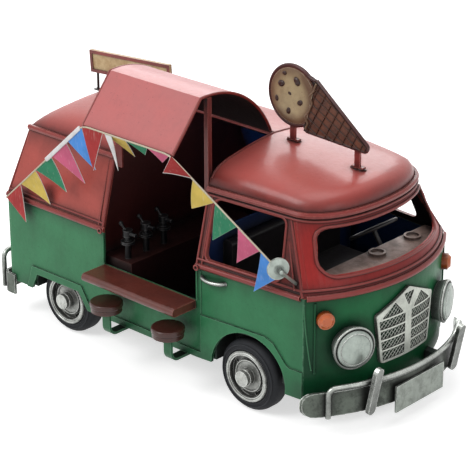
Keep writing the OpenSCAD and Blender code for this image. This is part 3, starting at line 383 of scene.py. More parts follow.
chip_brown = enamel("chip_enamel", (58, 34, 28), (20, 12, 10), (110, 72, 58), rough=0.32)
solder = enamel("solder_enamel", (70, 28, 24), (18, 9, 9), (150, 90, 80), rough=0.3, coat=0.2, patina=0.5)
inner_brown = enamel("inner_brown_enamel", (52, 24, 22), (14, 8, 8), (90, 54, 48), rough=0.4)
inner_red = enamel("inner_red_enamel", (66, 24, 22), (16, 8, 8), (116, 56, 50), rough=0.45)
silver = enamel("silver_paint", (204, 208, 202), SILVER_DEEP, (240, 242, 238), rough=0.24, metal=0.85,
    coat=0.0, wear=0.8, hollow_shade=1.7, patina=0.34, shade=side_and_under_painted_shade)
blade_silver = enamel("blade_silver_paint", (98, 105, 97), SILVER_DEEP, SILVER_WORN, rough=0.3, metal=0.8,
    coat=0.0, wear=1.0, hollow_shade=1.7, patina=0.7)
plate_silver = enamel("plate_silver_paint", (153, 160, 152), (62, 64, 60), SILVER_WORN, rough=0.36,
    metal=0.7, coat=0.0, wear=0.9, hollow_shade=1.4, patina=0.5)
grille_silver = enamel("grille_silver_paint", PALE_SILVER, (38, 38, 34), PALE_WORN, rough=0.34, metal=0.6,
    coat=0.0, wear=0.7, hollow_shade=1.5, patina=0.3)
mesh_silver = enamel("mesh_silver_paint", PALE_SILVER, (48, 48, 44), PALE_WORN, rough=0.36, metal=0.5,
    coat=0.0, wear=0.3, hollow_shade=0.3, patina=0.3)
rim_silver = enamel("rim_silver_paint", (198, 200, 195), (44, 44, 41), (236, 238, 234), rough=0.26,
    metal=0.8, coat=0.0, wear=1.0, hollow_shade=1.0, patina=0.6)
lamp_silver = enamel("lamp_silver_paint", (176, 186, 178), (52, 55, 52), (232, 234, 230), rough=0.32,
    metal=0.65, wear=0.6, hollow_shade=1.2, dents=0.6, patina=0.3)
dark_silver = enamel("dash_silver_paint", (190, 160, 148), (40, 26, 24), (206, 192, 184), rough=0.42,
    metal=0.1, coat=0.0, patina=0.45)
tap_black = enamel("tap_black_paint", (26, 26, 28), (12, 12, 13), (130, 130, 130), rough=0.28, metal=0.5)
navy = enamel("blue_enamel", (26, 46, 92), (10, 15, 30), (90, 120, 170), rough=0.42)
black = enamel("black_enamel", (38, 34, 36), (10, 9, 10), (108, 100, 96), rough=0.36)
orange = enamel("orange_lamp_enamel", (206, 96, 34), (76, 28, 12), (240, 170, 110), rough=0.24, coat=0.6)
lamp_red = enamel("red_lamp_enamel", (166, 38, 30), (50, 12, 12), (220, 120, 100), rough=0.24, coat=0.6)
axle_steel = enamel("axle_wire", (150, 150, 150), (40, 38, 38), (200, 200, 200), rough=0.35, metal=0.8,
    coat=0.0)


def tyre_finish():
    """Dark rubber, rubbed pale along its edges."""
    paint = Paint("tyre_rubber", Specular_IOR_Level=0.3)
    fine = paint.noise(700, 4, 0.7)
    broad = paint.noise(60, 3)
    hollow = (paint.hollows(0.006) * 1.4).low(0.9)
    edge = paint.edges(0.0014) * (0.4 + broad * 0.6)
    tone = paint.mix(broad.step(0.35, 0.7), srgb(24, 26, 30), srgb(36, 38, 42))
    # Painted shade darkens the tyre's hollows.
    tone = paint.mix(hollow, tone, srgb(11, 11, 13))
    tone = paint.mix(edge * 0.5, tone, srgb(78, 80, 84))
    paint.set(Base_Color=tone, Roughness=0.58 + fine * 0.2)
    paint.bump(fine, 0.0004, 0.4)
    return paint


def flag_finish(name, colour):
    """Thin sheet painted in one colour, with a woven-looking brush texture and pale bare edges."""
    paint = Paint(name, Specular_IOR_Level=0.2)
    warp = paint.noise(900, 2, 0.6, (1, 1, 0.15))
    broad = paint.noise(90, 3)
    tone = paint.mix(broad.step(0.3, 0.7), colour, dimmed(colour, 0.8))
    tone = paint.mix(warp.step(0.55, 0.8) * 0.22, tone, srgb(235, 228, 214))
    tone = paint.mix(paint.edges(0.0005) * 0.4, tone, srgb(240, 236, 228))
    # Painted shade darkens the flag's hollows.
    tone = paint.mix((paint.hollows(0.004) * 0.8).low(0.6), tone, dimmed(colour, 0.3))
    paint.set(Base_Color=tone, Roughness=0.62 + warp * 0.2)
    paint.bump(warp, 0.0003, 0.35)
    return paint


def board_finish():
    """The roof board: a cream field, sunk in a brown frame."""
    paint = Paint("board_enamel", Coat_Weight=0.1)
    y = paint.axes()[1]
    fine = paint.noise(330, 4, 0.65)
    broad = paint.noise(50, 4)
    depth = (y - at(0, CONE_Y, 0).y).size()
    frame_mask = depth.step(0.00062, 0.0009)
    field = paint.mix((broad * 0.6 + fine * 0.5).step(0.3, 0.8), srgb(218, 200, 152), srgb(172, 140, 92))
    rail = paint.mix(broad.step(0.3, 0.7), srgb(144, 62, 54), srgb(98, 40, 36))
    tone = paint.mix(frame_mask, field, rail)
    # Painted shade darkens the board's hollows.
    tone = paint.mix((paint.hollows(0.004) * 1.5).low(0.85), tone, srgb(46, 26, 20))
    tone = paint.mix(paint.edges(0.0008) * fine.step(0.4, 0.7) * 0.5, tone, srgb(205, 140, 128))
    paint.set(Base_Color=tone, Roughness=0.45 + fine * 0.2)
    paint.bump(fine, 0.0004, 0.5)
    return paint


def string_finish():
    """Undyed string, lighter and darker along its twist."""
    paint = Paint("bunting_string")
    twist = paint.noise(1500, 2, 0.6, (1, 1, 0.4))
    paint.set(Base_Color=paint.mix(twist, srgb(226, 218, 200), srgb(168, 150, 120)), Roughness=0.85)
    paint.bump(twist, 0.0003, 0.6)
    return paint


tyre_rubber = tyre_finish()
board_paint = board_finish()
string_paint = string_finish()
FLAGS = {
    "blue": flag_finish("flag_blue", srgb(84, 148, 226)),
    "pink": flag_finish("flag_pink", srgb(216, 104, 138)),
    "green": flag_finish("flag_green", srgb(56, 138, 102)),
    "yellow": flag_finish("flag_yellow", srgb(222, 194, 98)),
    "red": flag_finish("flag_red", srgb(172, 58, 58)),
    "white": flag_finish("flag_white", srgb(240, 238, 238)),
}

WHEELS = [f"{axle}_{side}" for axle in ("front", "rear") for _, side in SIDES]
NODE_PAINTS = {
    red: ["tail_upper", "cab_roof", "rear_roof"],
    side_red: ["side_upper_right"],
    frame_red: ["cab_side_right", "cab_side_left"],
    screen_red: ["screen_frame"],
    left_red: ["side_upper_left", "left_roof"],
    trim_red: ["drip_rail", "waist_bead", "cone_legs"],
    post_red: ["lid_struts"],
    lid_red: ["lid"],
    inner_red: ["rear_partition"],
    green: ["side_lower_right", "tail_lower", "stool_brackets"],
    left_green: ["side_lower_left"],
    nose_green: ["nose_panel"],
    dark_green: ["floor_pan", "bumper_irons"],
    brown: ["counter"],
    stool_brown: ["stool_seats"],
    cone_brown: ["cone_sign"],
    inner_brown: ["cabinet"],
    silver: ["front_rail", "overriders", "tail_rail", "door_handles"],
    grille_silver: ["grille"],
    blade_silver: ["front_blade", "tail_blade"],
    plate_silver: ["number_plate"],
    rim_silver: ["wheel_" + which for which in WHEELS],
    lamp_silver: ["headlamp_rims", "headlamp_lenses", "side_mirror"],
    dark_silver: ["dashboard"],
    tap_black: ["taps"],
    navy: ["cab_bulkhead"],
    black: ["bench_seat", "steering_wheel", "board_legs"],
    orange: ["turn_lamps"],
    lamp_red: ["tail_lamps"],
    board_paint: ["roof_board"],
    axle_steel: ["axle_front", "axle_rear"],
    tyre_rubber: ["tyre_" + which for which in WHEELS],
    string_paint: ["bunting_string"],
    FLAGS["pink"]: ["pennants"],
}
for paint, names in NODE_PAINTS.items():
    for name in names:
        for slot in NODES[name].material_slots:
            slot.material = paint.material


# Tools for the pieces

def dress(obj, paint, body="root"):
    """Gives a finished piece its paint and the body it rides on."""
    obj.data.materials.clear()
    obj.data.materials.append(paint.material)
    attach(obj, body)
    return obj


def edit_all():
    """Opens the active piece for editing, with all of it selected."""
    bpy.ops.object.mode_set(mode="EDIT")
    bpy.ops.mesh.select_all(action="SELECT")


def close_edit():
    bpy.ops.object.mode_set(mode="OBJECT")


def smooth(degrees):
    """Shades the selected piece smooth, apart from edges sharper than an angle."""
    bpy.ops.object.shade_smooth_by_angle(angle=math.radians(degrees))


def modify(obj, kind, **settings):
    """Applies one modifier to the active piece."""
    modifier = obj.modifiers.new("shape", kind)
    for key, value in settings.items():
        setattr(modifier, key, value)
    bpy.ops.object.modifier_apply(modifier="shape")


def placed(name, mesh):
    """A new piece with its own copy of a mesh, alone in the selection."""
    clear_selection()
    obj = bpy.data.objects.new(name, mesh.copy())
    bpy.context.collection.objects.link(obj)
    obj.select_set(True)
    bpy.context.view_layer.objects.active = obj
    return obj


def copy_of(mesh, name, matrix, paint):
    """A copy of a modelled mesh, with its place in its own mesh."""
    obj = placed(name, mesh)
    obj.data.transform(matrix)
    return dress(obj, paint)


def mesh_of(obj):
    """Takes the mesh of a pattern object and drops the object."""
    mesh = obj.data.copy()
    bpy.data.objects.remove(obj)
    return mesh


def drawn(name, rows, closed):
    """A curve with one run of straight stretches for each row of points."""
    clear_selection()
    bpy.ops.curve.primitive_bezier_curve_add()
    obj = bpy.context.object
    obj.name = name
    obj.data.splines.clear()
    for row in rows:
        spline = obj.data.splines.new("POLY")
        spline.points.add(len(row) - 1)
        for node, point in zip(spline.points, row):
            node.co = (*point, 1)
        spline.use_cyclic_u = closed
    return obj


def wire(name, points, radius, paint, closed=False, body="root"):
    """A round bead or wire along a row of points."""
    obj = drawn(name, [points], closed)
    obj.data.dimensions = "3D"
    obj.data.bevel_depth = radius * MM
    obj.data.bevel_resolution = 4 if radius > 1.0 else 2
    obj.data.use_fill_caps = True
    bpy.ops.object.convert(target="MESH")
    smooth(60)
    return dress(bpy.context.object, paint, body)


def lay(node, points, along, lift=0.0):
    """Drops points onto a node's skin along a direction, lifted off by some millimetres."""
    along = Vector(along).normalized()
    run_up = 0.08
    places = []
    for point in points:
        hit, place = NODES[node].ray_cast(point - along * run_up, along)[:2]
        if hit:
            places.append(place - along * lift * MM)
    return places


def rounded(corners, radius, grow=0.0, steps=5):
    """A polygon's outline, anticlockwise, with rounded corners, grown outwards."""
    outline = []
    for i, corner in enumerate(corners):
        here = Vector(corner)
        before, after = Vector(corners[i - 1]) - here, Vector(corners[(i + 1) % len(corners)]) - here
        half = before.angle(after) / 2
        middle = (before.normalized() + after.normalized()).normalized()
        centre = here + middle * radius / math.sin(half)
        start = math.atan2(-middle.y, -middle.x)
        for k in range(-steps, steps + 1):
            turn = start + (math.pi / 2 - half) * k / steps
            outline.append(centre + (radius + grow) * Vector((math.cos(turn), math.sin(turn))))
    return outline


def filled(points, spacing, closed=False):
    """The same path with points no further apart than spacing."""
    path = []
    ends = points[1:] + points[:1] if closed else points[1:]
    for a, b in zip(points, ends):
        count = max(1, math.ceil((b - a).length / spacing))
        path += [a + (b - a) * k / count for k in range(count)]
    return path if closed else path + [points[-1]]


def ring(middle, across, up, radius, count=64):
    """Points round a circle, from its middle and two directions in its plane."""
    turns = [2 * math.pi * k / count for k in range(count)]
    return [at(*(Vector(middle) + radius * (math.cos(a) * across + math.sin(a) * up))) for a in turns]


def lerp(a, b, k):
    return tuple(p + (q - p) * k for p, q in zip(a, b))


def keep_left_of(a, b):
    """Cuts the mesh in edit mode along the line from a to b and drops what lies on its right."""
    run = (Vector(b) - Vector(a)).normalized()
    bpy.ops.mesh.select_all(action="SELECT")
    bpy.ops.mesh.bisect(plane_co=(a[0] * MM, a[1] * MM, 0), plane_no=(run.y, -run.x, 0), clear_outer=True)


def nose_x(y, out=0.0):
    """How far forward the nose reaches at y, on a skin that lies some millimetres outside it."""
    return NOSE_C + math.sqrt((NOSE_R + out) ** 2 - y * y)


def door_y(x):
    """Half the width of the cab below the waist at x."""
    return HALF_W - (x - HATCH[1]) * TAPER


# Bunting: a string tied to the mirror's arm, led over the lid's eave and down to the rear corner

def lid_profile(lift):
    """The lid's section from its hinge over the crest and down the flap, as pairs of y and z."""
    points = []
    for k in range(25):
        turn = math.radians(HINGE_TURN + (FOLD_TURN - HINGE_TURN) * k / 24)
        points.append((LID_Y + (LID_R + lift) * math.cos(turn), LID_Z + (LID_R + lift) * math.sin(turn)))
    slope, fold = math.radians(FLAP_SLOPE), math.radians(FOLD_TURN)
    top = (LID_Y + LID_R * math.cos(fold), LID_Z + LID_R * math.sin(fold))
    for k in range(1, 7):
        run = FLAP_L * k / 6
        points.append((top[0] - run * math.cos(slope) - lift * math.sin(slope),
                       top[1] - run * math.sin(slope) + lift * math.cos(slope)))
    return points


EAVE_Y, EAVE_Z = lid_profile(0)[-1]
STRING_R = 0.5
STRING = [
    Vector((107.99, -73.19, 96.12)),
    Vector((LID_X[1] - 1.0, EAVE_Y - 0.9, EAVE_Z)),
    Vector((LID_X[0] + 1.0, EAVE_Y - 0.9, EAVE_Z)),
    Vector((REAR_X + 1.0, -HALF_W - 2.25, WAIST_Z - 1.7)),
]


def string_path():
    """The string's route, its two corners eased as a limp string bends."""
    ease = 6.0
    route = [STRING[0]]
    for before, here, after in zip(STRING, STRING[1:], STRING[2:]):
        start = here + (before - here).normalized() * ease
        end = here + (after - here).normalized() * ease
        route += [start.lerp(here, t).lerp(here.lerp(end, t), t) for t in (0, 0.2, 0.4, 0.6, 0.8, 1)]
    return [at(*p) for p in filled(route + [STRING[3]], 9.0)]


FLAG_T = 0.4
# Columns: stretch of string, place along it, colour, swing outwards in degrees, length, curl, width
PENNANTS = [
    (0, 0.1, "blue", -10, 27.5, 0.22, 17.5),
    (0, 0.3, "pink", -18, 26, 0.15, 17.5),
    (0, 0.5, "green", -15, 26, -0.1, 17.5),
    (0, 0.7, "yellow", -2, 15, -0.45, 17.5),
    (0, 0.9, "red", 102, 19.5, -0.2, 17.0),
    (1, 0.13, "pink", -24, 8, 0.3, 17),
    (1, 0.38, "green", -40, 11, 0.2, 17),
    (1, 0.63, "yellow", -44, 23, 0.12, 17),
    (1, 0.70, "white", -17, 25, 0.15, 5.5),
    (1, 0.88, "red", 0, 25, -0.1, 17),
    (2, 0.1, "blue", -8, 24.5, -0.1, 19),
    (2, 0.3, "pink", -16, 25.5, 0.1, 20),
    (2, 0.5, "green", -18, 22, 0.3, 21),
    (2, 0.7, "yellow", -18, 21, 0.3, 21),
    (2, 0.9, "red", 2, 21, 0.1, 21),
]


def pennant_pattern():
    """One flag of unit size, its upper edge along X, running to a point downwards."""
    clear_selection()
    bpy.ops.mesh.primitive_plane_add(size=1, location=(0, 0, 0))
    flag = bpy.context.object
    bpy.ops.object.mode_set(mode="EDIT")
    bpy.ops.mesh.select_all(action="DESELECT")
    close_edit()
    for vertex in flag.data.vertices:
        vertex.select = vertex.co.y < 0
    bpy.ops.object.mode_set(mode="EDIT")
    bpy.ops.mesh.merge(type="CENTER")
    bpy.ops.mesh.select_all(action="SELECT")
    bpy.ops.transform.translate(value=(0, -0.5, 0))
    bpy.ops.mesh.subdivide(number_cuts=9)
    close_edit()
    return mesh_of(flag)


flag_mesh = pennant_pattern()


def pennant(name, stretch, share, colour, swing, length, curl, width):
    """A flag hung from the string, bowed towards its point, white on the side that looks in."""
    a, b = STRING[stretch], STRING[stretch + 1]
    along = (b - a).normalized()
    down = (-Z + along.z * along).normalized()
    out = along.cross(down)
    hang = down * math.cos(math.radians(swing)) + out * math.sin(math.radians(swing))
    face = along.cross(hang)
    middle = a + (b - a) * share
    flag = placed(name, flag_mesh)
    for vertex in flag.data.vertices:
        drop = -vertex.co.y
        ripple = 0.6 * math.sin(vertex.co.x * 3.1 + drop) * drop * (1 - drop)
        bow = curl * length * 0.5 * drop * (drop - 1) + ripple
        place = middle + along * vertex.co.x * width + hang * (drop * length + 0.25) + face * bow
        vertex.co = at(*place)
    modify(flag, "SOLIDIFY", thickness=FLAG_T * MM, offset=0)
    edit_all()
    bpy.ops.mesh.normals_make_consistent(inside=False)
    close_edit()
    smooth(40)
    dress(flag, FLAGS[colour])
    flag.data.materials.append(FLAGS["white"].material)
    for polygon in flag.data.polygons:
        polygon.material_index = int(polygon.normal.dot(face) < 0.2)
    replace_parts(flag, "pennants")
    return flag


flags = [pennant(f"pennant_{i + 1}_{row[2]}", *row) for i, row in enumerate(PENNANTS)]


FOLD_SIZE = (0.047, 0.0015, 0.0026)
FOLD_MIDDLE = 26.5


def fold_strip():
    """The white fold that holds the first flags of the rear stretch to the string."""
    a, b = STRING[2], STRING[3]
    along = (b - a).normalized()
    side = Vector((0, 1, 0)).cross(along).normalized()
    clear_selection()
    bpy.ops.mesh.primitive_cube_add(size=1, location=(0, 0, 0))
    strip = bpy.context.object
    strip.name = "bunting_fold"
    edit_all()
    bpy.ops.transform.resize(value=FOLD_SIZE)
    bpy.ops.mesh.bevel(offset=0.0005, segments=2)
    bpy.ops.mesh.subdivide(number_cuts=2)
    close_edit()
    smooth(40)
    turn = Matrix((along, side.cross(along), side)).transposed().to_4x4()
    strip.data.transform(Matrix.Translation(at(*(a + along * FOLD_MIDDLE))) @ turn)
    dress(strip, FLAGS["white"])
    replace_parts(strip, "pennants")
    return strip


route = string_path()
string = wire("bunting_line", route, STRING_R, string_paint)
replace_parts(string, "bunting_string")
flags + [fold_strip()]


# Rolled beads around the windscreen, the door windows and the tail window
# The outlines are dropped onto the skin from places clear of the van.
AHEAD, BESIDE, ABOVE = 150, 90, 200
DOWN = (0, 0, -1)
SCREEN = [(-51.5, 90), (51.5, 90), (45, 114), (-45, 114)]
WINDOW = [(44, 84.5), (95.5, 84.5), (89.5, 116.5), (40.5, 116.5)]
TAIL_WINDOW = [(-31, 88.5), (31, 88.5), (31, 112.5), (-31, 112.5)]

outline = filled(rounded(SCREEN, 7, 1.0), 2.5, True)
bead = lay("screen_frame", [at(AHEAD, -y, z) for y, z in outline], (-1, 0, 0), 0.1)
wire("screen_bead", bead, 0.95, trim_red, closed=True)
outline = filled(rounded(WINDOW, 4, 0.9), 4, True)
for side, name in SIDES:
    bead = lay("cab_side_" + name, [at(x, side * BESIDE, z) for x, z in outline], (0, -side, 0), 0.1)
    wire("door_window_bead_" + name, bead, 0.9, trim_red, closed=True)
outline = filled(rounded(TAIL_WINDOW, 5, 0.9), 4, True)
bead = lay("tail_upper", [at(-AHEAD, y, z) for y, z in outline], (1, 0, 0), 0.1)
wire("tail_window_bead", bead, 0.9, trim_red, closed=True)


# Beads along the gutter and the waist, each at a share of the height from waist to gutter
GUTTER_K, SILL_K, REAR_K = 0.925, 0.09, 0.08


def skin_path(k, first, last, out):
    """A level line round the cab at share k of the height from waist to gutter, from x = first on the right
    round the nose to x = last on the left, some millimetres outside the skin."""
    steps = 36
    z = WAIST_Z + (GUTTER_Z - WAIST_Z) * k
    turn = math.asin(CORNER_Y / NOSE_R)
    path = []
    for i in range(-steps, steps + 1):
        t = i / steps
        belt = (NOSE_C + NOSE_R * math.cos(t * turn), NOSE_R * math.sin(t * turn))
        quarter = t * math.pi / 2
        brow = (PILLAR_TOP[0] + BROW_REACH * max(0.0, math.cos(quarter)) ** (2 / BROW_POWER),
                math.copysign(PILLAR_TOP[1] * abs(math.sin(quarter)) ** (2 / BROW_POWER), t))
        path.append(Vector(lerp(belt, brow, k)))
    side = HALF_W + (HALF_G - HALF_W) * k
    shoulder = post_x(1, k)
    start = [Vector((first, -side))] + ([Vector((shoulder, -side))] if first < shoulder - 1 else [])
    end = ([Vector((shoulder, side))] if last < shoulder - 1 else []) + [Vector((last, side))]
    path = start + path + end
    points = []
    for i, p in enumerate(path):
        d = (path[min(len(path) - 1, i + 1)] - path[max(0, i - 1)]).normalized()
        q = p + Vector((d.y, -d.x)) * out
        points.append(at(q.x, q.y, z))
    return points


def rear_x(k):
    return REAR_X + TAIL_LEAN * k


def post_x(which, k):
    return HATCH[which] - HATCH_LEAN * k


wire("gutter_bead", skin_path(GUTTER_K, post_x(1, GUTTER_K), rear_x(GUTTER_K) + 1, 0.3), 0.85, trim_red)
wire("sill_bead", skin_path(SILL_K, post_x(1, SILL_K), post_x(1, SILL_K), 0.3), 0.9, trim_red)
waist_y = -HALF_W + (HALF_W - HALF_G) * REAR_K - 0.2
bead = [at(x, waist_y, WAIST_Z + 3.3) for x in (rear_x(REAR_K), post_x(0, REAR_K) - 0.4)]
wire("rear_waist_bead", bead, 0.8, trim_red)

# Pillars: beads down the windscreen's seams and the tail's corners, posts beside the hatch
EYELET_R = 1.4
for side, name in SIDES:
    foot = at(CORNER_X - 0.7, side * (CORNER_Y + 0.15), WAIST_Z + 0.5)
    head = at(PILLAR_TOP[0] - 0.7, side * (PILLAR_TOP[1] + 0.15), GUTTER_Z - 1.5)
    wire("pillar_bead_" + name, [foot, head], 0.95, trim_red)
    foot = at(CORNER_X - 6.2, side * (CORNER_Y + 0.35), WAIST_Z + 3.5)
    head = at(PILLAR_TOP[0] - 2.6, side * (PILLAR_TOP[1] + 0.95), GUTTER_Z - 5.5)
    wire("door_frame_bead_" + name, [foot, head], 0.6, trim_red)
    foot = at(REAR_X + 0.2, side * (HALF_W - 0.1), WAIST_Z)
    head = at(REAR_X + TAIL_LEAN + 0.2, side * (HALF_G - 0.1), GUTTER_Z - 1.0)
    wire("tail_corner_bead_" + name, [foot, head], 0.75, trim_red)
for which, name, step in ((0, "rear", -0.5), (1, "front", 0.5)):
    foot = at(HATCH[which] + step, -HALF_W - 0.2, WAIST_Z + 0.5)
    head = at(ROOF_HATCH[which] + step, -HALF_G - 0.2, GUTTER_Z - 1.5)
    over = Vector((step * 7 * MM, 0, 0))
    wire("hatch_post_bead_" + name, [foot, head], 0.85, trim_red)
    wire("hatch_post_seam_" + name, [foot + over, head + over], 0.5, trim_red)
    low = [at(HATCH[which] + step * 0.6, -HALF_W - 0.1, z) for z in (59.0, WAIST_Z - 1.8)]
    wire("hatch_side_bead_" + name, low, 0.7, green)
    eyelet = ring((HATCH[which] + 2.8 * step, -HALF_W - 2.0, WAIST_Z - 0.6), X, Z, EYELET_R, 16)
    wire("waist_eyelet_" + name, eyelet, 0.55, trim_red, closed=True)

# Nose corners: an upright bead and the curved edge of each door; the doors' rear edges
CORNER_BEAD_Y, DOOR_REAR_X, DOOR_TOP_Z = 57.4, 41.6, 77.0
for side, name in SIDES:
    bead_x = nose_x(CORNER_BEAD_Y) + 0.25
    upright = [at(bead_x, side * CORNER_BEAD_Y, z) for z in (34.5, DOOR_TOP_Z)]
    wire("nose_corner_bead_" + name, upright, 0.75, nose_green)
    seam = []
    for k in range(13):
        t = k / 12
        y = 62.2 - 3.4 * t ** 1.6
        seam.append(at(nose_x(y) + 0.05, side * y, DOOR_TOP_Z - 40.5 * t))
    wire("door_front_seam_" + name, seam, 0.5, green)
    lip = [at(DOOR_REAR_X, side * (door_y(DOOR_REAR_X) + 0.05), z) for z in (DOOR_TOP_Z, 51.0)]
    wire("door_rear_seam_" + name, lip, 0.45, green)

# Grille: a pierced shield whose rib branches to the upper edges, with a fine mesh behind it
SHIELD = [(-21, 33), (21, 33), (25, 63), (0, 74.5), (-25, 63)]
SHIELD_T = 2.2
SHIELD_BEVEL = 0.3
SHIELD_RIM = 1.7
SHIELD_MID_Z = 54
RIB_HALF = 2.8
GRILLE_ROWS = [(34.5, 39.9), (41.1, 46.3), (47.5, 52.7), (53.9, 59.1)]
RIB_FORK = [(0, 62.8), (4.5, 71.0), (-4.5, 71.0)]
SHOULDER_GAP = [(4.4, 60.3), (21.2, 60.3), (11.4, 68.0)]
MESH_PITCH, MESH_CELLS = 2.05, 41


def row_end(z):
    """Where an opening of the grille ends at height z, inside the shield's rim."""
    (foot_y, foot_z), (head_y, head_z) = SHIELD[1:3]
    return foot_y + (head_y - foot_y) * (z - foot_z) / (head_z - foot_z) - SHIELD_RIM


def round_nose(obj, reach):
    """Bends a drawing in y and z round the nose, with its own height outwards."""
    for vertex in obj.data.vertices:
        y, z, height = vertex.co / MM
        vertex.co = at(nose_x(y, reach + height), y, z)


def grille_shield():
    gaps = [[(RIB_HALF, low), (row_end(low), low), (row_end(high), high), (RIB_HALF, high)]
            for low, high in GRILLE_ROWS]
    openings = [RIB_FORK]
    for side in (-1, 1):
        for gap in gaps + [SHOULDER_GAP]:
            gap = [(side * y, z) for y, z in gap]
            openings.append(gap if side > 0 else gap[::-1])
    outlines = [rounded(SHIELD, 2.2)] + [rounded(gap, 0.45, 0, 2) for gap in openings]
    rows = [[(p.x * MM, p.y * MM, 0) for p in filled(outline, 2.0, True)] for outline in outlines]
    plate = drawn("grille_shield", rows, True)
    plate.data.dimensions = "2D"
    plate.data.fill_mode = "BOTH"
    plate.data.extrude = (SHIELD_T / 2 - SHIELD_BEVEL) * MM
    plate.data.bevel_depth = SHIELD_BEVEL * MM
    plate.data.offset = -SHIELD_BEVEL * MM
    plate.data.bevel_resolution = 1
    bpy.ops.object.convert(target="MESH")
    plate = bpy.context.object
    edit_all()
    bpy.ops.mesh.remove_doubles(threshold=1e-6)
    for cut in range(-24, 25, 2):
        bpy.ops.mesh.select_all(action="SELECT")
        bpy.ops.mesh.bisect(plane_co=(cut * MM, 0, 0), plane_no=(1, 0, 0))
    bpy.ops.mesh.select_all(action="SELECT")
    bpy.ops.mesh.normals_make_consistent(inside=False)
    close_edit()
    round_nose(plate, SHIELD_T / 2 + 0.1)
    smooth(35)
    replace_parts(dress(plate, grille_silver), "grille")


def grille_mesh():
    clear_selection()
    bpy.ops.mesh.primitive_grid_add(x_subdivisions=MESH_CELLS, y_subdivisions=MESH_CELLS,
                                    size=MESH_CELLS * MESH_PITCH * MM, location=(0, 0, 0))
    mesh = bpy.context.object
    mesh.name = "grille_mesh"
    edit_all()
    bpy.ops.transform.rotate(value=math.radians(45), orient_axis="Z", center_override=(0, 0, 0))
    bpy.ops.transform.translate(value=(0, SHIELD_MID_Z * MM, 0))
    inner = [(y * 0.95, SHIELD_MID_Z + (z - SHIELD_MID_Z) * 0.95) for y, z in SHIELD]
    for a, b in zip(inner, inner[1:] + inner[:1]):
        keep_left_of(a, b)
    close_edit()
    modify(mesh, "WIREFRAME", thickness=0.55 * MM, use_even_offset=False)
    round_nose(mesh, 1.4)
    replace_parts(dress(mesh, mesh_silver), "grille")


grille_shield()
grille_mesh()

# Headlamps: a bright bead round each bowl and a ring on each lens
LAMP_Y, LAMP_Z = 39.2, 49.3
for side, name in SIDES:
    turn = side * math.asin(LAMP_Y / NOSE_R)
    axis = Vector((math.cos(turn), math.sin(turn), 0))
    across = Vector((-math.sin(turn), math.cos(turn), 0))
    for label, radius, reach, thick in (("lamp_bead", 12.05, 5.75, 0.8), ("lens_ring", 9.3, 7.75, 0.35)):
        middle = Vector((NOSE_C, 0, LAMP_Z)) + axis * (NOSE_R + reach)
        wire(f"{label}_{name}", ring(middle, across, Z, radius), thick, silver, closed=True)

# Bumper tubes: bent down at both ends in one sweep
TUBE_R, TUBE_BEND = 1.6, 4.5
RAIL_C, RAIL_R, RAIL_TURN = 40.0, 107.65, 33.7
TAIL_RAIL_X, TAIL_RAIL_HALF = -130.65, 66.5
FRONT_RAIL_Z, TAIL_RAIL_Z = (12, 30), (14.5, 38)


def bent_tube(half, low, high):
    """A tube's line from its right foot up, across and down again, as pairs of run and z."""
    turns = [k * math.pi / 12 for k in range(7)]
    corner = [(TUBE_BEND * (1 - math.cos(a)), TUBE_BEND * (math.sin(a) - 1)) for a in turns]
    rise = [(-half, low)] + [(-half + run, high + drop) for run, drop in corner]
    level = [half * k / 14 for k in range(-13, 14)]
    across = [(run, high) for run in level if abs(run) < half - TUBE_BEND - 1]
    return rise + across + [(-run, z) for run, z in rise[::-1]]


line = [(run / RAIL_R, z) for run, z in bent_tube(RAIL_R * math.radians(RAIL_TURN), *FRONT_RAIL_Z)]
tube = [at(RAIL_C + RAIL_R * math.cos(a), RAIL_R * math.sin(a), z) for a, z in line]
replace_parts(wire("front_tube", tube, TUBE_R, silver), "front_rail")
tube = [at(TAIL_RAIL_X, y, z) for y, z in bent_tube(TAIL_RAIL_HALF, *TAIL_RAIL_Z)]
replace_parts(wire("tail_tube", tube, TUBE_R, silver), "tail_rail")

# Door handles: a bowed pull with its two feet on each door
HANDLE_X, HANDLE_L, HANDLE_BOW = 42.5, 17.0, 3.4
for side, name in SIDES:
    bow = []
    for k in range(25):
        t = k / 24
        x = HANDLE_X + HANDLE_L * t
        out = HANDLE_BOW * math.sin(math.pi * t) ** 0.45 - 0.2
        bow.append(at(x, side * (door_y(x) + out), WAIST_Z - 6 - 0.6 * math.sin(math.pi * t)))
    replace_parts(wire("door_handle_" + name, bow, 1.1, silver), "door_handles")

# Tail: the edges of the rear door and its handle
TAIL_DOOR = ((-35, 78), (-35, 31), (35, 31), (35, 78))
TAIL_HANDLE_Z = 66
TAIL_HANDLE = ((0.3, -9), (-2.4, -9), (-2.4, 0), (0.3, 0))
edge = filled([at(REAR_X - 0.05, y, z) for y, z in TAIL_DOOR], 6)
wire("tail_door_edge", edge, 0.5, green)
handle = [at(REAR_X + out, y, TAIL_HANDLE_Z) for out, y in TAIL_HANDLE]
wire("tail_door_handle", handle, 0.8, silver)

# Raised lid: rolled hems along both ends and the eave
for name, x in (("rear", LID_X[0] + 0.25), ("front", LID_X[1] - 0.25)):
    wire("lid_hem_" + name, [at(x, y, z) for y, z in lid_profile(-0.55)], 0.85, trim_red)
hem_y, hem_z = lid_profile(-0.6)[-1]
wire("lid_eave_hem", [at(x, hem_y, hem_z) for x in LID_X], 0.8, trim_red)

# Hems on the roof's edges beside the hatch
for node, x in (("cab_roof", ROOF_HATCH[1] + 0.9), ("rear_roof", ROOF_HATCH[0] - 0.9)):
    arch = [at(x, -51.5 + 103 * k / 48, ABOVE) for k in range(49)]
    wire(node + "_hem", lay(node, arch, DOWN, -0.15), 0.8, trim_red)


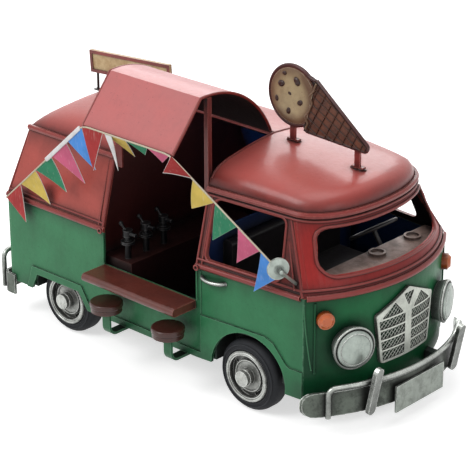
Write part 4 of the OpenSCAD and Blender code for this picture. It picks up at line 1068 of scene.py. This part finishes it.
# Cone sign: rolled rim, waffle lattice, scoop faces with chips, and the scoop's melted edge
MOUTH = ((SCOOP[0] + 17.2, SCOOP[1] + 14.4), (SCOOP[0] + 9.4, SCOOP[1] - 17.2))
TIP = ((SCOOP[0] + 53.6, SCOOP[1] - 19.0), (SCOOP[0] + 55.0, SCOOP[1] - 16.0))
CONE = [MOUTH[0], MOUTH[1], TIP[0], TIP[1]]
UPRIGHT = Matrix.Rotation(math.pi / 2, 4, "X")


def sign_edge(grow):
    """The sign's edge: round the scoop anticlockwise, then along the cone."""
    start, end = math.radians(50), math.radians(298)
    turns = [start + (end - start) * k / 40 for k in range(41)]
    scoop = [Vector(SCOOP_MID) + (SCOOP_R + grow) * Vector((math.cos(t), math.sin(t))) for t in turns]
    cone = rounded(CONE, 1.6, grow, 3)
    return scoop + cone[10:] + cone[2:4]


def onto_sign(obj, face, lift):
    """Stands a drawing in x and z up on one face of the sign."""
    if face > 0:
        obj.data.transform(Matrix.Scale(-1, 4, (0, 0, 1)))
        obj.data.flip_normals()
    obj.data.transform(Matrix.Translation(at(0, CONE_Y + face * (CONE_T / 2 + lift), 0)) @ UPRIGHT)


def waffle(name, face):
    """A lattice of crossed ribs, cut to the cone's outline."""
    clear_selection()
    bpy.ops.mesh.primitive_grid_add(x_subdivisions=16, y_subdivisions=16, size=0.08, location=(0, 0, 0))
    obj = bpy.context.object
    obj.name = name
    edit_all()
    bpy.ops.transform.resize(value=(1.15, 0.9, 1))
    bpy.ops.transform.rotate(value=math.radians(28), orient_axis="Z", center_override=(0, 0, 0))
    bpy.ops.transform.translate(value=((SCOOP[0] + 32) * MM, (SCOOP[1] - 4) * MM, 0))
    for a, b in zip(CONE, CONE[1:] + CONE[:1]):
        keep_left_of(a, b)
    close_edit()
    modify(obj, "WIREFRAME", thickness=0.9 * MM, use_even_offset=False)
    onto_sign(obj, face, 0.1)
    dress(obj, waffle_brown)


def scoop_face(name, face):
    """A low dome over the scoop, cut off where the cone begins."""
    clear_selection()
    bpy.ops.mesh.primitive_circle_add(vertices=56, radius=(SCOOP_R - 1.0) * MM, fill_type="NGON",
                                      location=(0, 0, 0))
    obj = bpy.context.object
    obj.name = name
    bpy.ops.object.mode_set(mode="EDIT")
    for inset, rise in ((1.2, 0.5), (2.6, 0.35), (4.0, 0.3), (4.0, 0.15)):
        bpy.ops.mesh.inset(thickness=inset * MM)
        bpy.ops.transform.translate(value=(0, 0, rise * MM))
    bpy.ops.mesh.poke()
    bpy.ops.mesh.select_all(action="SELECT")
    bpy.ops.transform.translate(value=(SCOOP_MID[0] * MM, SCOOP_MID[1] * MM, 0))
    keep_left_of((MOUTH[1][0] + 0.6, MOUTH[1][1]), (MOUTH[0][0] + 0.6, MOUTH[0][1]))
    close_edit()
    modify(obj, "SOLIDIFY", thickness=0.6 * MM)
    smooth(50)
    onto_sign(obj, face, 0.05)
    dress(obj, scoop_cream)


def lump_pattern():
    """A flattened, uneven lump of about a millimetre, for chips and solder."""
    clear_selection()
    bpy.ops.mesh.primitive_ico_sphere_add(subdivisions=2, radius=MM, location=(0, 0, 0))
    lump = bpy.context.object
    edit_all()
    bpy.ops.transform.vertex_random(offset=0.00016, seed=4)
    bpy.ops.transform.resize(value=(1.35, 0.95, 0.5))
    close_edit()
    bpy.ops.object.shade_smooth()
    return mesh_of(lump)


lump_mesh = lump_pattern()
# Columns: place on the scoop across and up from its middle, size, turn in degrees
CHIPS = [(-7.5, 6.0, 2.1, 20), (-2.0, -9.0, 1.7, 70), (4.0, 9.5, 2.2, 130), (6.5, -2.5, 1.8, 40),
         (-11.0, -3.5, 1.4, 100), (-1.0, 1.5, 1.3, 160), (-5.5, 12.5, 1.2, 10)]

rim = [at(p.x, CONE_Y, p.y) for p in sign_edge(0.1)]
wire("cone_rim", rim, 1.25, sign_brown, closed=True)
for face, side in SIDES:
    waffle("cone_waffle_" + side, face)
    scoop_face("scoop_face_" + side, face)
    for i, (x, z, size, turn) in enumerate(CHIPS):
        spot = at(SCOOP_MID[0] + x, CONE_Y + face * (CONE_T / 2 + 1.0), SCOOP_MID[1] + z)
        spin = UPRIGHT @ Matrix.Rotation(math.radians(turn), 4, "Z") @ Matrix.Scale(size, 4)
        copy_of(lump_mesh, f"scoop_chip_{side}_{i + 1}", Matrix.Translation(spot) @ spin, chip_brown)
    melt = []
    for k in range(41):
        t = 0.05 + 0.9 * k / 40
        x, z = lerp(MOUTH[0], MOUTH[1], t)
        wave = 1.2 * math.sin(t * 15.7) + 0.5 * math.sin(t * 31 + 1)
        melt.append(at(x + wave + 0.4, CONE_Y + face * (CONE_T / 2 + 0.4), z))
    wire("scoop_melt_" + side, melt, 0.7, scoop_cream)

# Lumps of solder where the sign's legs meet the roof, as place in x and y, and size
SOLDER = ((48.6, -0.6, 1.9), (53.6, 0.4, 1.5), (95.4, -0.8, 1.8), (101.6, 0.6, 1.5), (98.6, -1.8, 1.2))
for i, (x, y, size) in enumerate(SOLDER):
    spot = lay("cab_roof", [at(x, y, ABOVE)], DOWN, 0.1)[0]
    spin = Matrix.Rotation(i * 1.1, 4, "Z") @ Matrix.Scale(size, 4)
    copy_of(lump_mesh, f"sign_solder_{i + 1}", Matrix.Translation(spot) @ spin, solder)

# Wheels: a bead round the rim, a ring on the disc, ridges on the tyre's wall and tread
# Columns: name, radius, place outwards from the track, thickness, paint, slot
WHEEL_RINGS = [
    ("rim_bead", 14.3, 0.9, 0.7, rim_silver, "silver_paint"),
    ("disc_ring", 9.3, -1.0, 0.6, rim_silver, "silver_paint"),
    ("hub_ring", 4.6, 2.2, 0.5, rim_silver, "silver_paint"),
    ("tyre_ridge", 18.6, -0.05, 0.45, tyre_rubber, "tyre_rubber"),
    ("tyre_ridge_low", 16.4, 0.0, 0.4, tyre_rubber, "tyre_rubber"),
    ("tread_rib_outer", 20.95, -4.6, 0.5, tyre_rubber, "tyre_rubber"),
    ("tread_rib_inner", 20.95, -8.4, 0.5, tyre_rubber, "tyre_rubber"),
]
for axle, x, track in (("front", AXLE_X, FRONT_TRACK), ("rear", -AXLE_X, REAR_TRACK)):
    for side, name in SIDES:
        which = f"{axle}_{name}"
        for label, radius, out, thick, paint, slot in WHEEL_RINGS:
            circle = ring((x, side * (track + out), TYRE_R), X, Z, radius)
            wire(f"{label}_{which}", circle, thick, paint, closed=True, body="wheel_body_" + which)


# The faceted nodes give way to merged, smooth skins once the trim has been laid on them

def smooth_skin(node, paint, degrees):
    skin = placed(node + "_skin", NODES[node].data)
    bpy.ops.mesh.customdata_custom_splitnormals_clear()
    edit_all()
    bpy.ops.mesh.remove_doubles(threshold=1e-5)
    close_edit()
    smooth(degrees)
    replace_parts(dress(skin, paint), node)


smooth_skin("cab_roof", red, 38)
smooth_skin("rear_roof", red, 38)
smooth_skin("left_roof", left_red, 38)
smooth_skin("screen_frame", screen_red, 38)
smooth_skin("drip_rail", trim_red, 24)


# Floor and light around the van
WORLD_LIGHT = 0.38


def set_floor():
    """A pale floor that looks near white and keeps the van's shadow."""
    clear_selection()
    bpy.ops.mesh.primitive_plane_add(size=8, location=(0, 0, 0))
    floor = bpy.context.object
    floor.name = "studio_floor"
    paint = Paint("studio_paper", Roughness=0.9, Specular_IOR_Level=0.0)
    paint.set(Base_Color=paint.mix(paint.noise(6, 2), srgb(236, 236, 236), srgb(240, 240, 240)))
    glow = paint.node("ShaderNodeEmission", None, {"Color": (1, 1, 1, 1), "Strength": paint.seen() * 0.6})
    both = paint.node("ShaderNodeAddShader", None, {0: Value(paint, paint.shader.outputs[0]), 1: glow})
    paint.feed(paint.tree.nodes["Material Output"].inputs["Surface"], both)
    floor.data.materials.append(paint.material)


def set_world():
    """White where it is seen, and a dimmer light on the van."""
    world = bpy.data.worlds.new("studio")
    bpy.context.scene.world = world
    world.use_nodes = True
    nodes = Nodes(world.node_tree)
    light = nodes.tree.nodes["Background"]
    nodes.feed(light.inputs["Color"], (1, 1, 1, 1))
    nodes.feed(light.inputs["Strength"], WORLD_LIGHT + (1 - WORLD_LIGHT) * nodes.seen())


set_floor()
set_world()
bpy.context.scene.view_settings.view_transform = "Standard"
